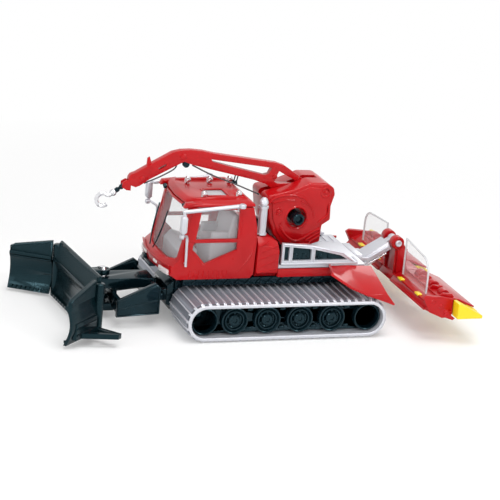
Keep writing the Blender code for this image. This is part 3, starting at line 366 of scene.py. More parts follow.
# a closed section of (along the axis, radius) points spun round an axis
def turned(section, centre, axis, steps=32):
    bpy.ops.mesh.primitive_circle_add(vertices=len(section), fill_type="NOTHING")
    obj = bpy.context.object
    for vert, (along, radius) in zip(obj.data.vertices, section):
        vert.co = Vector((radius, 0.0, along)) * mm
    openMesh(obj)
    bpy.ops.mesh.spin(steps=steps, angle=math.tau, center=(0, 0, 0), axis=(0, 0, 1), use_auto_merge=True)
    bpy.ops.mesh.select_all(action="SELECT")
    bpy.ops.mesh.remove_doubles(threshold=0.000002)
    bpy.ops.mesh.dissolve_degenerate(threshold=0.000002)
    bpy.ops.mesh.delete_loose(use_verts=True, use_edges=True, use_faces=False)
    bpy.ops.mesh.select_all(action="SELECT")
    bpy.ops.mesh.normals_make_consistent(inside=False)
    closeMesh()
    turn = Vector(axis).to_track_quat("Z", "Y").to_matrix().to_4x4()
    obj.data.transform(Matrix.Translation(spot(*centre)) @ turn)
    return obj


# a bent bar: its corners are rounded off, or the whole route is one smooth curve
def bent(points, radius, corner=0.0, smooth=False, sides=2):
    route = [spot(*p) for p in points]
    if corner > 0:
        eased = [route[0]]
        for before, here, after in zip(route, route[1:], route[2:]):
            into = here - (here - before).normalized() * corner * mm
            out = here + (after - here).normalized() * corner * mm
            for t in (0.0, 0.25, 0.5, 0.75, 1.0):
                eased.append(into.lerp(here, t).lerp(here.lerp(out, t), t))
        route = eased + [route[-1]]
    bpy.ops.curve.primitive_bezier_curve_add()
    obj = bpy.context.object
    curve = obj.data
    curve.splines.clear()
    line = curve.splines.new("BEZIER" if smooth else "POLY")
    if smooth:
        line.bezier_points.add(len(route) - 1)
        for knot, place in zip(line.bezier_points, route):
            knot.co = place
            knot.handle_left_type = "AUTO"
            knot.handle_right_type = "AUTO"
    else:
        line.points.add(len(route) - 1)
        for knot, place in zip(line.points, route):
            knot.co = (*place, 1.0)
    curve.resolution_u = 6
    curve.bevel_depth = radius * mm
    curve.bevel_resolution = sides
    curve.use_fill_caps = True
    bpy.ops.object.convert(target="MESH")
    obj = bpy.context.object
    openMesh(obj)
    bpy.ops.mesh.remove_doubles(threshold=0.000002)
    bpy.ops.mesh.normals_make_consistent(inside=False)
    closeMesh()
    return obj


def bevelled(obj, width, segments=2, angle=28.0):
    bpy.ops.object.select_all(action="DESELECT")
    obj.select_set(True)
    bpy.context.view_layer.objects.active = obj
    mod = obj.modifiers.new("soft_edges", "BEVEL")
    mod.width = width * mm
    mod.segments = segments
    mod.limit_method = "ANGLE"
    mod.angle_limit = math.radians(angle)
    bpy.ops.object.modifier_apply(modifier=mod.name)
    return obj


def carved(obj, *cutters):
    for cutter in cutters:
        mod = obj.modifiers.new("hole", "BOOLEAN")
        mod.operation = "DIFFERENCE"
        mod.solver = "EXACT"
        mod.object = cutter
        bpy.ops.object.select_all(action="DESELECT")
        bpy.context.view_layer.objects.active = obj
        obj.select_set(True)
        bpy.ops.object.modifier_apply(modifier=mod.name)
        bpy.data.objects.remove(cutter, do_unlink=True)
    return obj


# a CAD node's own shape, merged and with its edges softened
def softened(node, width, segments=2, angle=28.0):
    obj = bpy.data.objects.new(node + "_soft", nodes[node].data.copy())
    bpy.context.collection.objects.link(obj)
    openMesh(obj)
    bpy.ops.mesh.remove_doubles(threshold=0.000002)
    bpy.ops.mesh.dissolve_limited(angle_limit=math.radians(0.6))
    closeMesh()
    obj.data.materials.clear()
    return bevelled(obj, width, segments, angle)


def copyOf(obj, matrix):
    twin = obj.copy()
    twin.data = obj.data.copy()
    bpy.context.collection.objects.link(twin)
    twin.data.transform(matrix)
    return twin


def mirrored(obj):
    twin = copyOf(obj, Matrix.Scale(-1, 4, (1, 0, 0)))
    openMesh(twin)
    bpy.ops.mesh.flip_normals()
    closeMesh()
    return twin


def grouped(shapes):
    shapes = list(shapes)
    bpy.ops.object.select_all(action="DESELECT")
    for obj in shapes:
        obj.select_set(True)
    bpy.context.view_layer.objects.active = shapes[0]
    if len(shapes) > 1:
        bpy.ops.object.join()
    return bpy.context.view_layer.objects.active


# name, dress and hang a finished piece; stands says which CAD nodes it replaces
def settled(shapes, name, finish, body, stands=(), angle=32.0):
    obj = grouped(shapes if isinstance(shapes, (list, tuple)) else [shapes])
    bpy.ops.object.transform_apply(location=True, rotation=True, scale=True)
    bpy.ops.object.shade_smooth_by_angle(angle=math.radians(angle))
    obj.name = name
    obj.data.name = name
    obj.data.materials.clear()
    obj.data.materials.append(finishes[finish])
    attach(obj, body)
    if stands:
        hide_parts(*stands)
    return obj


def arc(centre, radius, start, end, steps):
    angles = [math.radians(start + (end - start) * i / steps) for i in range(steps + 1)]
    return [(centre[0] + radius * math.cos(a), centre[1] + radius * math.sin(a)) for a in angles]


sides = {"left": 1, "right": -1}


# tracks: the belt with its smooth rims, a darker sheet over the belt as painted shade between and at the ends of the
# shoes, and the shoes round it
trackSize = {"outer": trackHigh.x / mm, "inner": trackLow.x / mm, "rise": 0.8, "belt": 1.7, "shoes": 60,
             "radius": (trackHigh.z - trackLow.z) / 2 / mm, "half": (trackHigh.y - trackLow.y) / 2 / mm}
idlerY = trackSize["half"] - trackSize["radius"]
axleZ = trackSize["radius"]
beltRadius = trackSize["radius"] - trackSize["rise"]
shoePitch = (4 * idlerY + math.tau * beltRadius) / trackSize["shoes"]


def stadium(radius, steps=16):
    return arc((-idlerY, axleZ), radius, 270, 90, steps) + arc((idlerY, axleZ), radius, 90, -90, steps)


# where a shoe stands: its place on the belt and the way out from it
def shoePlace(distance):
    run = 2 * idlerY
    bend = math.pi * beltRadius
    if distance < run:
        return (-idlerY + distance, axleZ + beltRadius), 90.0
    if distance < run + bend:
        angle = 90.0 - math.degrees((distance - run) / beltRadius)
        return arc((idlerY, axleZ), beltRadius, angle, angle, 1)[0], angle
    if distance < 2 * run + bend:
        return (idlerY - (distance - run - bend), axleZ - beltRadius), 270.0
    angle = 270.0 - math.degrees((distance - 2 * run - bend) / beltRadius)
    return arc((-idlerY, axleZ), beltRadius, angle, angle, 1)[0], angle


# one shoe, at the middle of the tracks and at ground height: its pad, and the ridges that stand on it
def shoe():
    inner = trackSize["inner"]
    outer = trackSize["outer"]
    rise = trackSize["rise"]
    half = shoePitch / 2 + 0.02
    # a ridge crosses the pad and falls over the rim at its outer end, with a fin before it
    section = [(-half, -0.4), (-half, 0.0), (half - 0.5, 0.2), (half, 0.0), (half, -0.4)]
    pad = bevelled(cutOut(section, "X", inner + 1.0, outer - 2.2), 0.05, 1)
    crest = [(inner + 0.6, -0.2), (inner + 1.4, rise), (outer - 2.4, rise), (outer - 0.9, 0.4), (outer - 0.1, -0.35),
             (outer - 0.6, -0.6)]
    ridge = bevelled(cutOut(crest, "Y", -0.32, 0.3), 0.16, 2)
    fin = cutOut([(outer - 3.6, 0.1), (outer - 1.9, 0.55), (outer - 0.6, -0.3)], "Y", -1.0, -0.25)
    return pad, grouped([ridge, fin])


def track(side):
    centre = Matrix.Translation(spot(0, 0, 0))
    rounds = []
    for part in shoe():
        copies = []
        for i in range(trackSize["shoes"]):
            (y, z), angle = shoePlace((i + 0.5) * shoePitch)
            turn = Matrix.Rotation(math.radians(angle - 90.0), 4, "X")
            copies.append(copyOf(part, Matrix.Translation(spot(0, y, z)) @ turn @ centre.inverted()))
        bpy.data.objects.remove(part, do_unlink=True)
        rounds.append(grouped(copies))
    inner = trackSize["inner"]
    outer = trackSize["outer"]
    hollow = beltRadius - trackSize["belt"]
    belt = cutOut(stadium(beltRadius - 0.15), "X", inner, outer)
    belt = bevelled(carved(belt, cutOut(stadium(hollow), "X", inner - 1, outer + 1)), 0.35, 3, 40)
    # a dark sheet just over the belt, as painted shade between the shoes and between their fins at the rim
    web = cutOut(stadium(beltRadius - 0.05), "X", inner + 1.2, outer - 1.0)
    web = carved(web, cutOut(stadium(beltRadius - 0.6), "X", inner, outer))
    pieces = rounds + [belt, web]
    if side == "right":
        pieces = [mirroredAway(piece) for piece in pieces]
    pads, ridges, belt, web = pieces
    settled([ridges, belt], f"track_{side}_belt", "silver_plastic", "carrier", [f"track_{side}"])
    settled(pads, f"track_{side}_pads", "track_silver", "carrier")
    settled(web, f"track_{side}_web", "painted_shade_silver", "carrier")


def mirroredAway(obj):
    twin = mirrored(obj)
    bpy.data.objects.remove(obj, do_unlink=True)
    return twin


# inside each track: a plate that carries four road wheels and two open idlers
wheelSize = {"plate": trackSize["outer"] - 6.0, "rise": 3.3, "radius": 6.6, "pitch": 16.1, "shift": -1.5, "bolts": 6}


def wheelShape():
    rise = wheelSize["rise"]
    rim = wheelSize["radius"]
    section = [(-1, 0), (-1, rim), (rise - 0.5, rim), (rise - 0.1, rim - 0.2), (rise, rim - 0.5), (rise - 0.1, rim - 0.9),
               (rise - 0.8, rim - 1.2), (rise - 1.1, rim - 1.6), (rise - 0.5, rim - 2.0), (rise - 0.4, rim - 2.5),
               (rise - 1.5, rim - 2.9), (rise - 1.8, 2.9), (rise - 0.5, 2.7), (rise - 0.1, 2.3), (rise - 0.1, 1.1),
               (rise - 0.6, 0.9), (rise - 0.6, 0)]
    disc = turned(section, (0, 0, 0), (1, 0, 0), 40)
    bolts = []
    for i in range(wheelSize["bolts"]):
        angle = math.tau * i / wheelSize["bolts"]
        place = (rise - 0.2, 1.7 * math.cos(angle), 1.7 * math.sin(angle))
        bolts.append(turned([(0, 0), (0, 0.34), (0.24, 0.3), (0.3, 0.12), (0.3, 0)], place, (1, 0, 0), 10))
    for i in range(wheelSize["bolts"]):
        angle = math.tau * (i + 0.5) / wheelSize["bolts"]
        place = (rise - 1.7, 3.3 * math.cos(angle), 3.3 * math.sin(angle))
        bolts.append(turned([(0, 0), (0, 0.45), (0.5, 0.4), (0.5, 0)], place, (1, 0, 0), 8))
    return grouped([disc] + bolts)


def idlerShape():
    rise = wheelSize["rise"]
    rim = wheelSize["radius"]
    section = [(-9.6, 0), (-9.6, rim), (rise - 0.5, rim), (rise - 0.1, rim - 0.2), (rise, rim - 0.5),
               (rise - 0.1, rim - 0.8), (rise - 0.6, rim - 1.1), (rise - 1.2, rim - 1.2), (-8.8, rim - 1.6), (-8.8, 0)]
    hub = turned([(-9, 0), (-9, 2.2), (-5.5, 2.0), (-5.2, 1.4), (-5.2, 0)], (0, 0, 0), (1, 0, 0), 24)
    return grouped([turned(section, (0, 0, 0), (1, 0, 0), 48), hub])


def rollers(side):
    face = wheelSize["plate"]
    inner = trackSize["inner"] + 0.3
    plate = cutOut(stadium(beltRadius - trackSize["belt"] - 0.3), "X", inner, face)
    for end in (-1, 1):
        hole = [(0, 0), (0, wheelSize["radius"] - 0.2), (12, wheelSize["radius"] - 0.2), (12, 0)]
        plate = carved(plate, turned(hole, (face - 9.4, end * idlerY, axleZ), (1, 0, 0), 48))
    shapes = [bevelled(plate, 0.3, 2, 40)]
    wheel = wheelShape()
    for i in range(4):
        y = wheelSize["shift"] + (i - 1.5) * wheelSize["pitch"]
        shapes.append(copyOf(wheel, Matrix.Translation(Vector((face, y, axleZ)) * mm)))
        # ribs on the plate between the wheels, above and below
        middle = y + wheelSize["pitch"] / 2
        for z in (axleZ + 4.6, axleZ - 4.6):
            shapes.append(bevelled(block((face - 1, middle - 1.4, z - 0.7), (face + 1.2, middle + 1.4, z + 0.7)), 0.3))
    bpy.data.objects.remove(wheel, do_unlink=True)
    idler = idlerShape()
    for end in (-1, 1):
        shapes.append(copyOf(idler, Matrix.Translation(Vector((face, end * idlerY, axleZ)) * mm)))
    bpy.data.objects.remove(idler, do_unlink=True)
    obj = grouped(shapes)
    if side == "right":
        obj = mirroredAway(obj)
    settled(obj, f"wheels_{side}", "black_plastic", "carrier", [f"roller_frame_{side}"])


for side in sides:
    track(side)
    rollers(side)
print("tracks and wheels made")


# middle beam: ribs along its upper sides
def beam():
    shapes = [softened("chassis", 0.3)]
    for sign in sides.values():
        for i in range(17):
            y = -42.0 + i * 5.3
            low, high = sorted((sign * 19.6, sign * 20.6))
            rib = [(y, 21.0), (y + 0.8, 21.0), (y + 3.4, 23.9), (y + 2.6, 23.9)]
            shapes.append(cutOut(rib, "X", low, high))
    settled(shapes, "middle_beam", "black_plastic", "carrier", ["chassis"])


beam()

cabSize = {"half": 22.0, "sill": 24.3, "lean": 0.026}


def cabSide(z, proud=0.0):
    return cabSize["half"] - (z - cabSize["sill"]) * cabSize["lean"] + proud


# a bead or rib along the cab's side, through (y, z) points
def sideBead(sign, points, radius, sink=0.3, smooth=True):
    return bent([(sign * cabSide(z, -sink * radius), y, z) for y, z in points], radius, smooth=smooth)


def cabCasting():
    wide = [(-19.4, 34.4), (-13.0, 32.3), (13.0, 32.3), (19.4, 34.4), (19.3, 45.0), (18.9, 57.6), (-18.9, 57.6), (-19.3, 45.0)]
    casting = softened("cab_body", 0.01, 1)
    upper = [(-42.0, 43.5), (-40.0, 57.8), (-21.4, 57.8), (-21.4, 43.5)]
    lower = [(-43.0, 38.8), (-42.7, 41.9), (-21.4, 41.9), (-21.4, 38.3), (-36.8, 31.8)]
    openings = [cutOut(wide, "Y", -62.0, -46.0), cutOut(upper, "X", -24.0, 24.0), cutOut(lower, "X", -24.0, 24.0)]
    shapes = [bevelled(carved(casting, *openings), 0.3, 3)]
    for sign in sides.values():
        # the line that sweeps down behind the door, and the ledge under the upper window
        shapes.append(sideBead(sign, [(-12.9, 47.0), (-12.6, 41.3), (-14.3, 35.6), (-17.0, 31.4), (-21.0, 27.4)], 0.3))
        shapes.append(sideBead(sign, [(-44.4, 42.7), (-33.0, 42.8), (-21.4, 43.0)], 0.45, 0.4))
        shapes.append(sideBead(sign, [(-44.8, 39.8), (-41.4, 35.4), (-37.6, 31.4), (-21.0, 38.0)], 0.25, smooth=False))
        # small vents in the pillar behind the window
        for i in range(7):
            z = 45.4 + i * 1.6
            shapes.append(sideBead(sign, [(-20.4, z), (-19.6, z + 0.7)], 0.28, smooth=False))
        # upright flutes along the skirt
        for i in range(9):
            y = -44.0 + i * 2.3
            shapes.append(sideBead(sign, [(y, 25.2), (y + 0.3, 28.6)], 0.42, 0.5, smooth=False))
        # the seams of the door
        shapes.append(sideBead(sign, [(-46.4, 45.6), (-44.4, 57.6), (-20.9, 57.9)], 0.24, smooth=False))
    # a raised band across the nose, over the lamps
    nose = [(x, -53.3 - 3.4 * (1 - (x / 22.0) ** 2), 30.8) for x in range(-21, 22, 3)]
    shapes.append(bent(nose, 0.35))
    settled(shapes, "cab_casting", "red_paint", "carrier", ["cab_body"])


def noseAt(x, y):
    return y - 3.4 * (1 - (x / 22.0) ** 2)


def cabLamps():
    lenses = []
    for sign in sides.values():
        for low, high, z in ((12.0, 20.2, 27.4), (5.6, 9.6, 28.9)):
            outline = []
            for i in range(7):
                x = low + (high - low) * i / 6
                outline.append((sign * x, noseAt(x, -53.75)))
            back = [(x, y + 1.6) for x, y in reversed(outline)]
            rise = 2.5 if low > 10 else 1.4
            lens = cutOut(outline + back, "Z", z - rise / 2, z + rise / 2)
            lenses.append(bevelled(lens, 0.35, 3))
    settled(lenses, "nose_lamps", "lamp_lens", "carrier")
    # round lamps on the roof, in chromed rings
    rings = []
    glasses = []
    for x, y, z in ((-9.0, -38.0, 61.6), (13.6, -37.2, 61.6), (-9.0, -27.0, 61.6), (-9.0, -17.0, 61.6),
                    (13.6, -20.0, 61.6)):
        ring = [(-1.3, 0.0), (-1.3, 0.9), (-0.6, 1.5), (0.5, 1.7), (0.8, 1.55), (0.7, 1.3), (0.3, 1.25), (0.3, 0)]
        rings.append(turned(ring, (x, y, z + 1.6), (0, -1, 0.2), 24))
        rings.append(turned([(0, 0), (0, 1.0), (0.4, 0.5), (1.4, 0.45), (1.4, 0)], (x, y, z - 0.2), (0, 0, 1), 12))
        glasses.append(turned([(0.2, 0), (0.2, 1.26), (0.5, 1.1), (0.75, 0.5), (0.8, 0)], (x, y, z + 1.6), (0, -1, 0.2), 20))
    settled(rings, "roof_lamp_rings", "bright_chrome", "carrier")
    settled(glasses, "roof_lamp_glass", "lamp_lens", "carrier")
    # four small dark lamps under the roof's front edge, and two aerials on the roof
    dark = []
    for x in (-16.6, -14.4, 14.4, 16.6):
        y = noseAt(x, -45.6) + 1.2
        dark.append(turned([(0, 0), (0, 0.9), (1.2, 0.9), (1.4, 0.6), (1.2, 0.5), (1.2, 0)], (x, y, 58.4), (0, -1, -0.2), 16))
    for x, y in ((-10.0, -14.6), (-8.6, -13.8)):
        dark.append(bent([(x, y, 61.0), (x - 0.4, y + 1.4, 67.2)], 0.3))
        dark.append(turned([(0, 0), (0, 0.9), (1.6, 0.5), (1.6, 0)], (x, y, 61.0), (0, 0, 1), 12))
    # dark towing bracket at the nose, and the wipers
    dark.append(bevelled(block((-9.5, -57.6, 24.4), (-5.5, -52.0, 27.6)), 0.5))
    dark.append(bevelled(block((-4.5, -57.9, 25.0), (4.5, -54.6, 26.6)), 0.4))
    for sign in (-1, 1):
        wiper = [(sign * 2.4, -56.2, 33.8), (sign * 4.6, -54.9, 39.0), (sign * 6.0, -53.2, 46.0), (sign * 6.4, -51.6, 53.0)]
        dark.append(bent(wiper, 0.3, smooth=True))
        dark.append(bent([(x + 0.3, y - 0.35, z) for x, y, z in wiper[1:]], 0.22, smooth=True))
    settled(dark, "cab_dark_trim", "black_plastic", "carrier")


def cabRoof():
    shapes = [softened("cab_roof", 0.6, 3)]
    # the hatch's frame, two low strakes along the roof, and the visor's turned-down corners
    hatchLow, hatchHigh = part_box("roof_hatch")
    x0, x1 = hatchLow.x / mm, hatchHigh.x / mm
    y0, y1 = hatchLow.y / mm - trackMiddle, hatchHigh.y / mm - trackMiddle
    top = 61.6
    loop = [(x0 + 4, y0, top), (x0, y0, top), (x0, y1, top), (x1, y1, top), (x1, y0, top), (x0 + 4, y0, top)]
    shapes.append(bent(loop, 0.35, 0.8))
    for sign in sides.values():
        shapes.append(bent([(sign * 15.4, -42.0, 61.2), (sign * 14.6, -30, 61.7), (sign * 15.0, -17.4, 61.5)], 0.7, smooth=True))
        visor = [(-48.6, 58.2), (-47.4, 60.6), (-40.0, 61.3), (-38.0, 58.9), (-42.0, 58.7)]
        low, high = sorted((sign * 17.0, sign * 20.4))
        shapes.append(bevelled(cutOut(visor, "X", low, high), 0.5, 3))
    settled(shapes, "cab_roof_panel", "red_paint", "carrier", ["cab_roof"])
    settled(softened("roof_hatch", 0.2), "roof_hatch_glass", "grey_plastic", "carrier", ["roof_hatch"])


def cabRails(side):
    sign = sides[side]
    silver = [bevelled(turned([(0, 0), (0, 0.75), (1.0, 0.95), (29.4, 0.95), (30.6, 0.5), (30.6, 0)],
                              (sign * 23.4, -50.0, 57.6), (0, 30.4, 2.8), 16), 0.1, 1)]
    arm = [(23.4, -49.4, 57.7), (27.4, -50.4, 56.6), (27.4, -50.4, 47.6), (23.4, -47.0, 45.8), (23.4, -46.6, 31.2)]
    silver.append(bent([(sign * x, y, z) for x, y, z in arm], 0.62, 1.2))
    for y, foot, top in ((-22.5, 57.6, 60.0), (-44.0, 57.2, 58.2), (-46.6, 32.4, 32.4), (-46.6, 43.6, 43.6)):
        silver.append(bent([(sign * cabSide(foot, -0.5), y, foot), (sign * 23.4, y, top)], 0.5))
    silver.append(turned([(-1.0, 0), (-1.0, 1.3), (-0.7, 1.6), (0.7, 1.6), (1.0, 1.3), (1.0, 0)],
                         (sign * 24.4, -21.6, 60.4), (0, 0, 1), 16))
    low, high = sorted((sign * 25.6, sign * 29.2))
    head = block((low, -52.0, 48.8), (high, -49.4, 57.0))
    silver.append(bevelled(head, 0.7, 3))
    silver.append(turned([(-0.6, 0), (-0.6, 1.3), (0.9, 1.1), (1.2, 0.6), (1.2, 0)], (sign * 27.0, -50.8, 47.0), (0, -1, 0), 16))
    settled(silver, f"cab_rails_{side}", "silver_plastic", "carrier", [f"side_rail_{side}"])
    glass = bevelled(block((low + 0.4, -49.5, 49.3), (high - 0.4, -49.15, 56.5)), 0.15)
    settled(glass, f"mirror_glass_{side}", "bright_chrome", "carrier")


def cabInside():
    shapes = [softened("cab_seat", 1.2, 3)]
    for x in (-3.6, 11.6):
        shapes.append(bevelled(block((x - 1.6, -31.0, 39.5), (x + 1.6, -22.0, 44.0)), 0.8, 3))
    settled(shapes, "cab_seat_pad", "grey_plastic", "carrier", ["cab_seat"])
    desk = [softened("cab_console", 0.8, 3)]
    ring = turned([(-0.5, 4.2), (-0.2, 4.7), (0.3, 4.7), (0.5, 4.2), (0.0, 3.9)], (4.0, -37.0, 41.5), (0, 1, 0.9), 28)
    desk += [ring, bent([(4.0, -39.6, 35.5), (4.0, -37.0, 41.5)], 0.7), bent([(4.0, -37.0, 41.5), (8.2, -37, 41.5)], 0.4),
             bent([(4.0, -37.0, 41.5), (-0.2, -37, 41.5)], 0.4)]
    settled(desk, "cab_controls", "grey_plastic", "carrier", ["cab_console"])


cabCasting()
cabLamps()
cabRoof()
cabInside()
for side in sides:
    cabRails(side)
for node in ("windscreen", "side_window_left", "side_window_right", "rear_window"):
    pane = softened(node, 0.15, 1)
    if node == "windscreen":
        # the pane reaches nearly to both pillars
        pane.data.transform(Matrix.Translation(Vector((0, 0.35, 0)) * mm) @ Matrix.Scale(1.09, 4, (1, 0, 0)))
    settled(pane, node + "_pane", "clear_plastic", "carrier", [node])
print("cab made")


# engine hood, exhaust and deck
def hood():
    shapes = [softened("engine_hood", 0.5, 3)]
    for sign in sides.values():
        for a, b in (((-10.6, 39.5), (-6.2, 42.4)), ((-9.3, 37.0), (-1.2, 40.4)), ((-10.6, 33.4), (-1.2, 36.6)),
                     ((-10.6, 29.4), (-1.2, 33.0)), ((-10.6, 26.8), (-1.2, 29.0))):
            x = sign * 22.5
            shapes.append(bent([(x, *a), (x, *b)], 0.32))
    settled(shapes, "hood_cover", "red_paint", "carrier", ["engine_hood"])
    low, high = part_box("exhaust")
    x, y, z = (low.x + high.x) / 2 / mm, (low.y + high.y) / 2 / mm - trackMiddle, low.z / mm
    pipe = [(0, 0), (0, 2.5), (0.6, 2.5), (0.8, 1.95), (12.6, 1.95), (12.8, 2.35), (13.9, 2.35), (14.1, 1.6), (14.8, 1.6),
            (15.0, 2.1), (16.2, 2.0), (17.2, 1.5), (17.9, 0.8), (18.0, 0)]
    shapes = [turned(pipe, (x, y, z), (0, 0, 1), 40)]
    for i in range(8):
        angle = math.tau * i / 8
        px, py = x + 1.95 * math.cos(angle), y + 1.95 * math.sin(angle)
        shapes.append(bent([(px, py, z + 1.0), (px, py, z + 11.6)], 0.16))
    settled(shapes, "exhaust_pipe", "silver_plastic", "carrier", ["exhaust"])


def rearDeck():
    settled(softened("deck_edge", 0.35, 3), "deck_red_edge", "red_paint", "carrier", ["deck_edge"])
    deck = [softened("deck", 0.3)]
    for i in range(11):
        y = 3.0 + i * 3.8
        for low, high in ((-20.0, -11.5), (11.5, 20.0)):
            deck.append(bevelled(block((low, y, 30.0), (high, y + 1.3, 30.45)), 0.12, 1))
    settled(deck, "deck_plate", "silver_plastic", "carrier", ["deck"])
    for side, sign in sides.items():
        frame = [softened(f"deck_side_{side}", 0.3)]
        # a lip along the frame's foot and top, standing out from it
        low, high = sorted((sign * 21.8, sign * 22.6))
        frame.append(bevelled(block((low, 1.0, 30.3), (high, 40.0, 31.4)), 0.2))
        frame.append(bent([(sign * 22.0, 1.8, 40.6), (sign * 22.0, 15.7, 39.4), (sign * 22.0, 32.0, 35.7),
                           (sign * 22.0, 38.6, 31.0)], 0.5))
        frame.append(bent([(sign * 22.0, 5.8, 31.2), (sign * 22.0, 5.8, 40.2)], 0.45))
        frame.append(bent([(sign * 22.0, 17.1, 31.2), (sign * 22.0, 17.1, 39.0)], 0.45))
        settled(frame, f"deck_frame_{side}", "silver_plastic", "carrier", [f"deck_side_{side}"])
        # black panels inside the frames, as painted shade behind the frames' windows
        inner, outer = sorted((sign * 19.2, sign * 20.2))
        panel = [(1.0, 30.4), (1.0, 40.0), (15.6, 38.8), (31.8, 35.2), (37.6, 30.4)]
        dark = [bevelled(cutOut(panel, "X", inner, outer), 0.2)]
        for y, z in ((7.4, 34.0), (12.0, 34.0), (20.0, 33.6), (25.0, 33.4)):
            inner, outer = sorted((sign * 20.0, sign * 20.6))
            dark.append(bevelled(block((inner, y, z - 1.4), (outer, y + 2.6, z + 1.4)), 0.2))
        settled(dark, f"deck_inner_{side}", "black_plastic", "carrier")
    settled(softened("tow_block", 0.3), "tow_wall", "silver_plastic", "carrier", ["tow_block"])


# a folded fender from the deck down to the track's outer edge, drawn out to a tip behind it
def fender(side):
    sign = sides[side]
    skin = [(22.6, 26.0, 29.8), (22.6, 36.0, 29.9), (22.6, 47.0, 29.4), (41.4, 48.2, 22.4), (41.9, 53.0, 16.4),
            (41.9, 44.6, 19.6), (41.9, 39.3, 21.3), (40.4, 30.4, 25.2), (36.6, 21.4, 30.8)]
    bpy.ops.mesh.primitive_circle_add(vertices=len(skin), fill_type="NGON")
    obj = bpy.context.object
    for vert, (x, y, z) in zip(obj.data.vertices, skin):
        vert.co = spot(sign * x, y, z)
    openMesh(obj)
    bpy.ops.mesh.quads_convert_to_tris(quad_method="BEAUTY", ngon_method="BEAUTY")
    bpy.ops.mesh.normals_make_consistent(inside=False)
    bpy.ops.mesh.select_all(action="SELECT")
    closeMesh()
    if obj.data.polygons[0].normal.z < 0:
        openMesh(obj)
        bpy.ops.mesh.flip_normals()
        closeMesh()
    mod = obj.modifiers.new("sheet", "SOLIDIFY")
    mod.thickness = 1.2 * mm
    mod.offset = -1.0
    bpy.ops.object.modifier_apply(modifier=mod.name)
    shapes = [bevelled(obj, 0.35, 3, 40)]
    # the flange that stands at the front corner
    low = [(sign * 36.4, 21.8, 30.5), (sign * 22.8, 25.6, 30.0)]
    shapes.append(bent(low, 0.5))
    shapes.append(bent([(sign * 41.5, 40.0, 20.8), (sign * 41.5, 44.8, 19.2), (sign * 41.6, 52.6, 16.3)], 0.45))
    settled(shapes, f"fender_{side}", "red_paint", "carrier", [f"rear_fender_{side}"])


hood()
rearDeck()
for side in sides:
    fender(side)
print("rear body made")


# winch: rounded housing with embossed sides, its ring, the boom and the drum's shaft
winchSize = {"half": 11.0, "drumY": 10.8, "drumZ": 50.2, "bore": 3.8, "well": 4.7, "shaft": 15.0}


def winchHousing():
    outline = [(-4.6, 59.4), (-3.8, 60.9), (8.4, 63.8), (16.8, 67.2), (24.7, 67.0), (28.8, 64.4), (29.6, 61.2),
               (28.1, 55.5), (28.4, 48.6), (24.4, 46.0), (24.1, 37.8), (18.4, 36.0), (5.0, 36.0), (0.1, 41.8), (-3.1, 49.7)]
    half = winchSize["half"]
    body = bevelled(cutOut(outline, "X", -half, half), 1.3, 4, 20)
    bore = [(-half - 1, 0), (-half - 1, winchSize["bore"]), (half + 1, winchSize["bore"]), (half + 1, 0)]
    body = carved(body, turned(bore, (0, winchSize["drumY"], winchSize["drumZ"]), (1, 0, 0), 36))
    body = carved(body, block((-2.0, -6.0, 58.6), (2.0, 23.0, 70.0)))
    for sign in sides.values():
        well = [(0, 0), (0, winchSize["well"]), (6, winchSize["well"]), (6, 0)]
        body = carved(body, turned(well, (sign * (half - 3.4), winchSize["drumY"], winchSize["drumZ"]), (sign, 0, 0), 40))
    shapes = [body]
    middle = (12.2, 51.4)
    inset = [(middle[0] + 0.87 * (y - middle[0]), middle[1] + 0.87 * (z - middle[1])) for y, z in outline]
    for sign in sides.values():
        low, high = sorted((sign * (half - 0.3), sign * (half + 0.5)))
        well = [(0, 0), (0, winchSize["well"]), (6, winchSize["well"]), (6, 0)]
        panel = carved(cutOut(inset, "X", low, high),
                       turned(well, (sign * (half - 3.4), winchSize["drumY"], winchSize["drumZ"]), (sign, 0, 0), 40))
        shapes.append(bevelled(panel, 0.35, 3, 40))
        x = sign * (half + 0.4)

        def line(points, radius=0.48):
            shapes.append(bent([(x, y, z) for y, z in points], radius, smooth=True))

        line([(-3.4, 57.6), (-2.2, 59.2), (6.6, 61.4), (13.4, 59.8), (17.2, 56.6)], 0.62)
        line([(-1.8, 57.4), (4.2, 59.0), (9.0, 58.8)])
        line([(12.4, 58.2), (16.6, 56.2), (18.8, 53.4), (19.6, 50.4)])
        line([(3.0, 45.4), (7.4, 40.6), (11.1, 38.9), (15.0, 39.9), (19.0, 42.6), (23.2, 44.6)], 0.58)
        line([(16.6, 38.9), (20.3, 41.3), (23.4, 42.9)])
        line([(18.4, 38.0), (21.0, 39.7), (23.4, 41.2)])
        line([(3.2, 48.0), (2.6, 46.8), (4.1, 44.8)])
        line([(26.8, 56.6), (26.6, 52.0), (22.0, 47.6)])
        line([(5.0, 36.9), (12.0, 37.1), (19.0, 37.2)], 0.4)
        for y, z, radius in ((24.4, 62.5, 2.3), (1.6, 53.4, 1.5), (winchSize["drumY"], winchSize["drumZ"], 5.4)):
            section = [(-0.3, radius - 0.6), (0.2, radius - 0.5), (0.5, radius), (0.2, radius + 0.5), (-0.3, radius + 0.6)]
            shapes.append(turned(section, (x, y, z), (sign, 0, 0), 40))
        for y, z in ((24.4, 62.5), (1.6, 53.4)):
            shapes.append(turned([(-0.3, 0), (-0.3, 1.0), (0.4, 0.9), (0.6, 0.4), (0.6, 0)], (x, y, z), (sign, 0, 0), 20))
    settled(shapes, "winch_casting", "red_paint", "winch", ["winch_housing"])
    ring = [(0, 0), (0, 9.5), (0.8, 9.5), (1.1, 9.1), (4.4, 9.1), (4.7, 9.5), (5.1, 9.4), (5.2, 9.0), (5.2, 0)]
    settled(turned(ring, (0, 12.0, 30.5), (0, 0, 1), 64), "winch_turntable", "black_plastic", "carrier", ["winch_ring"])


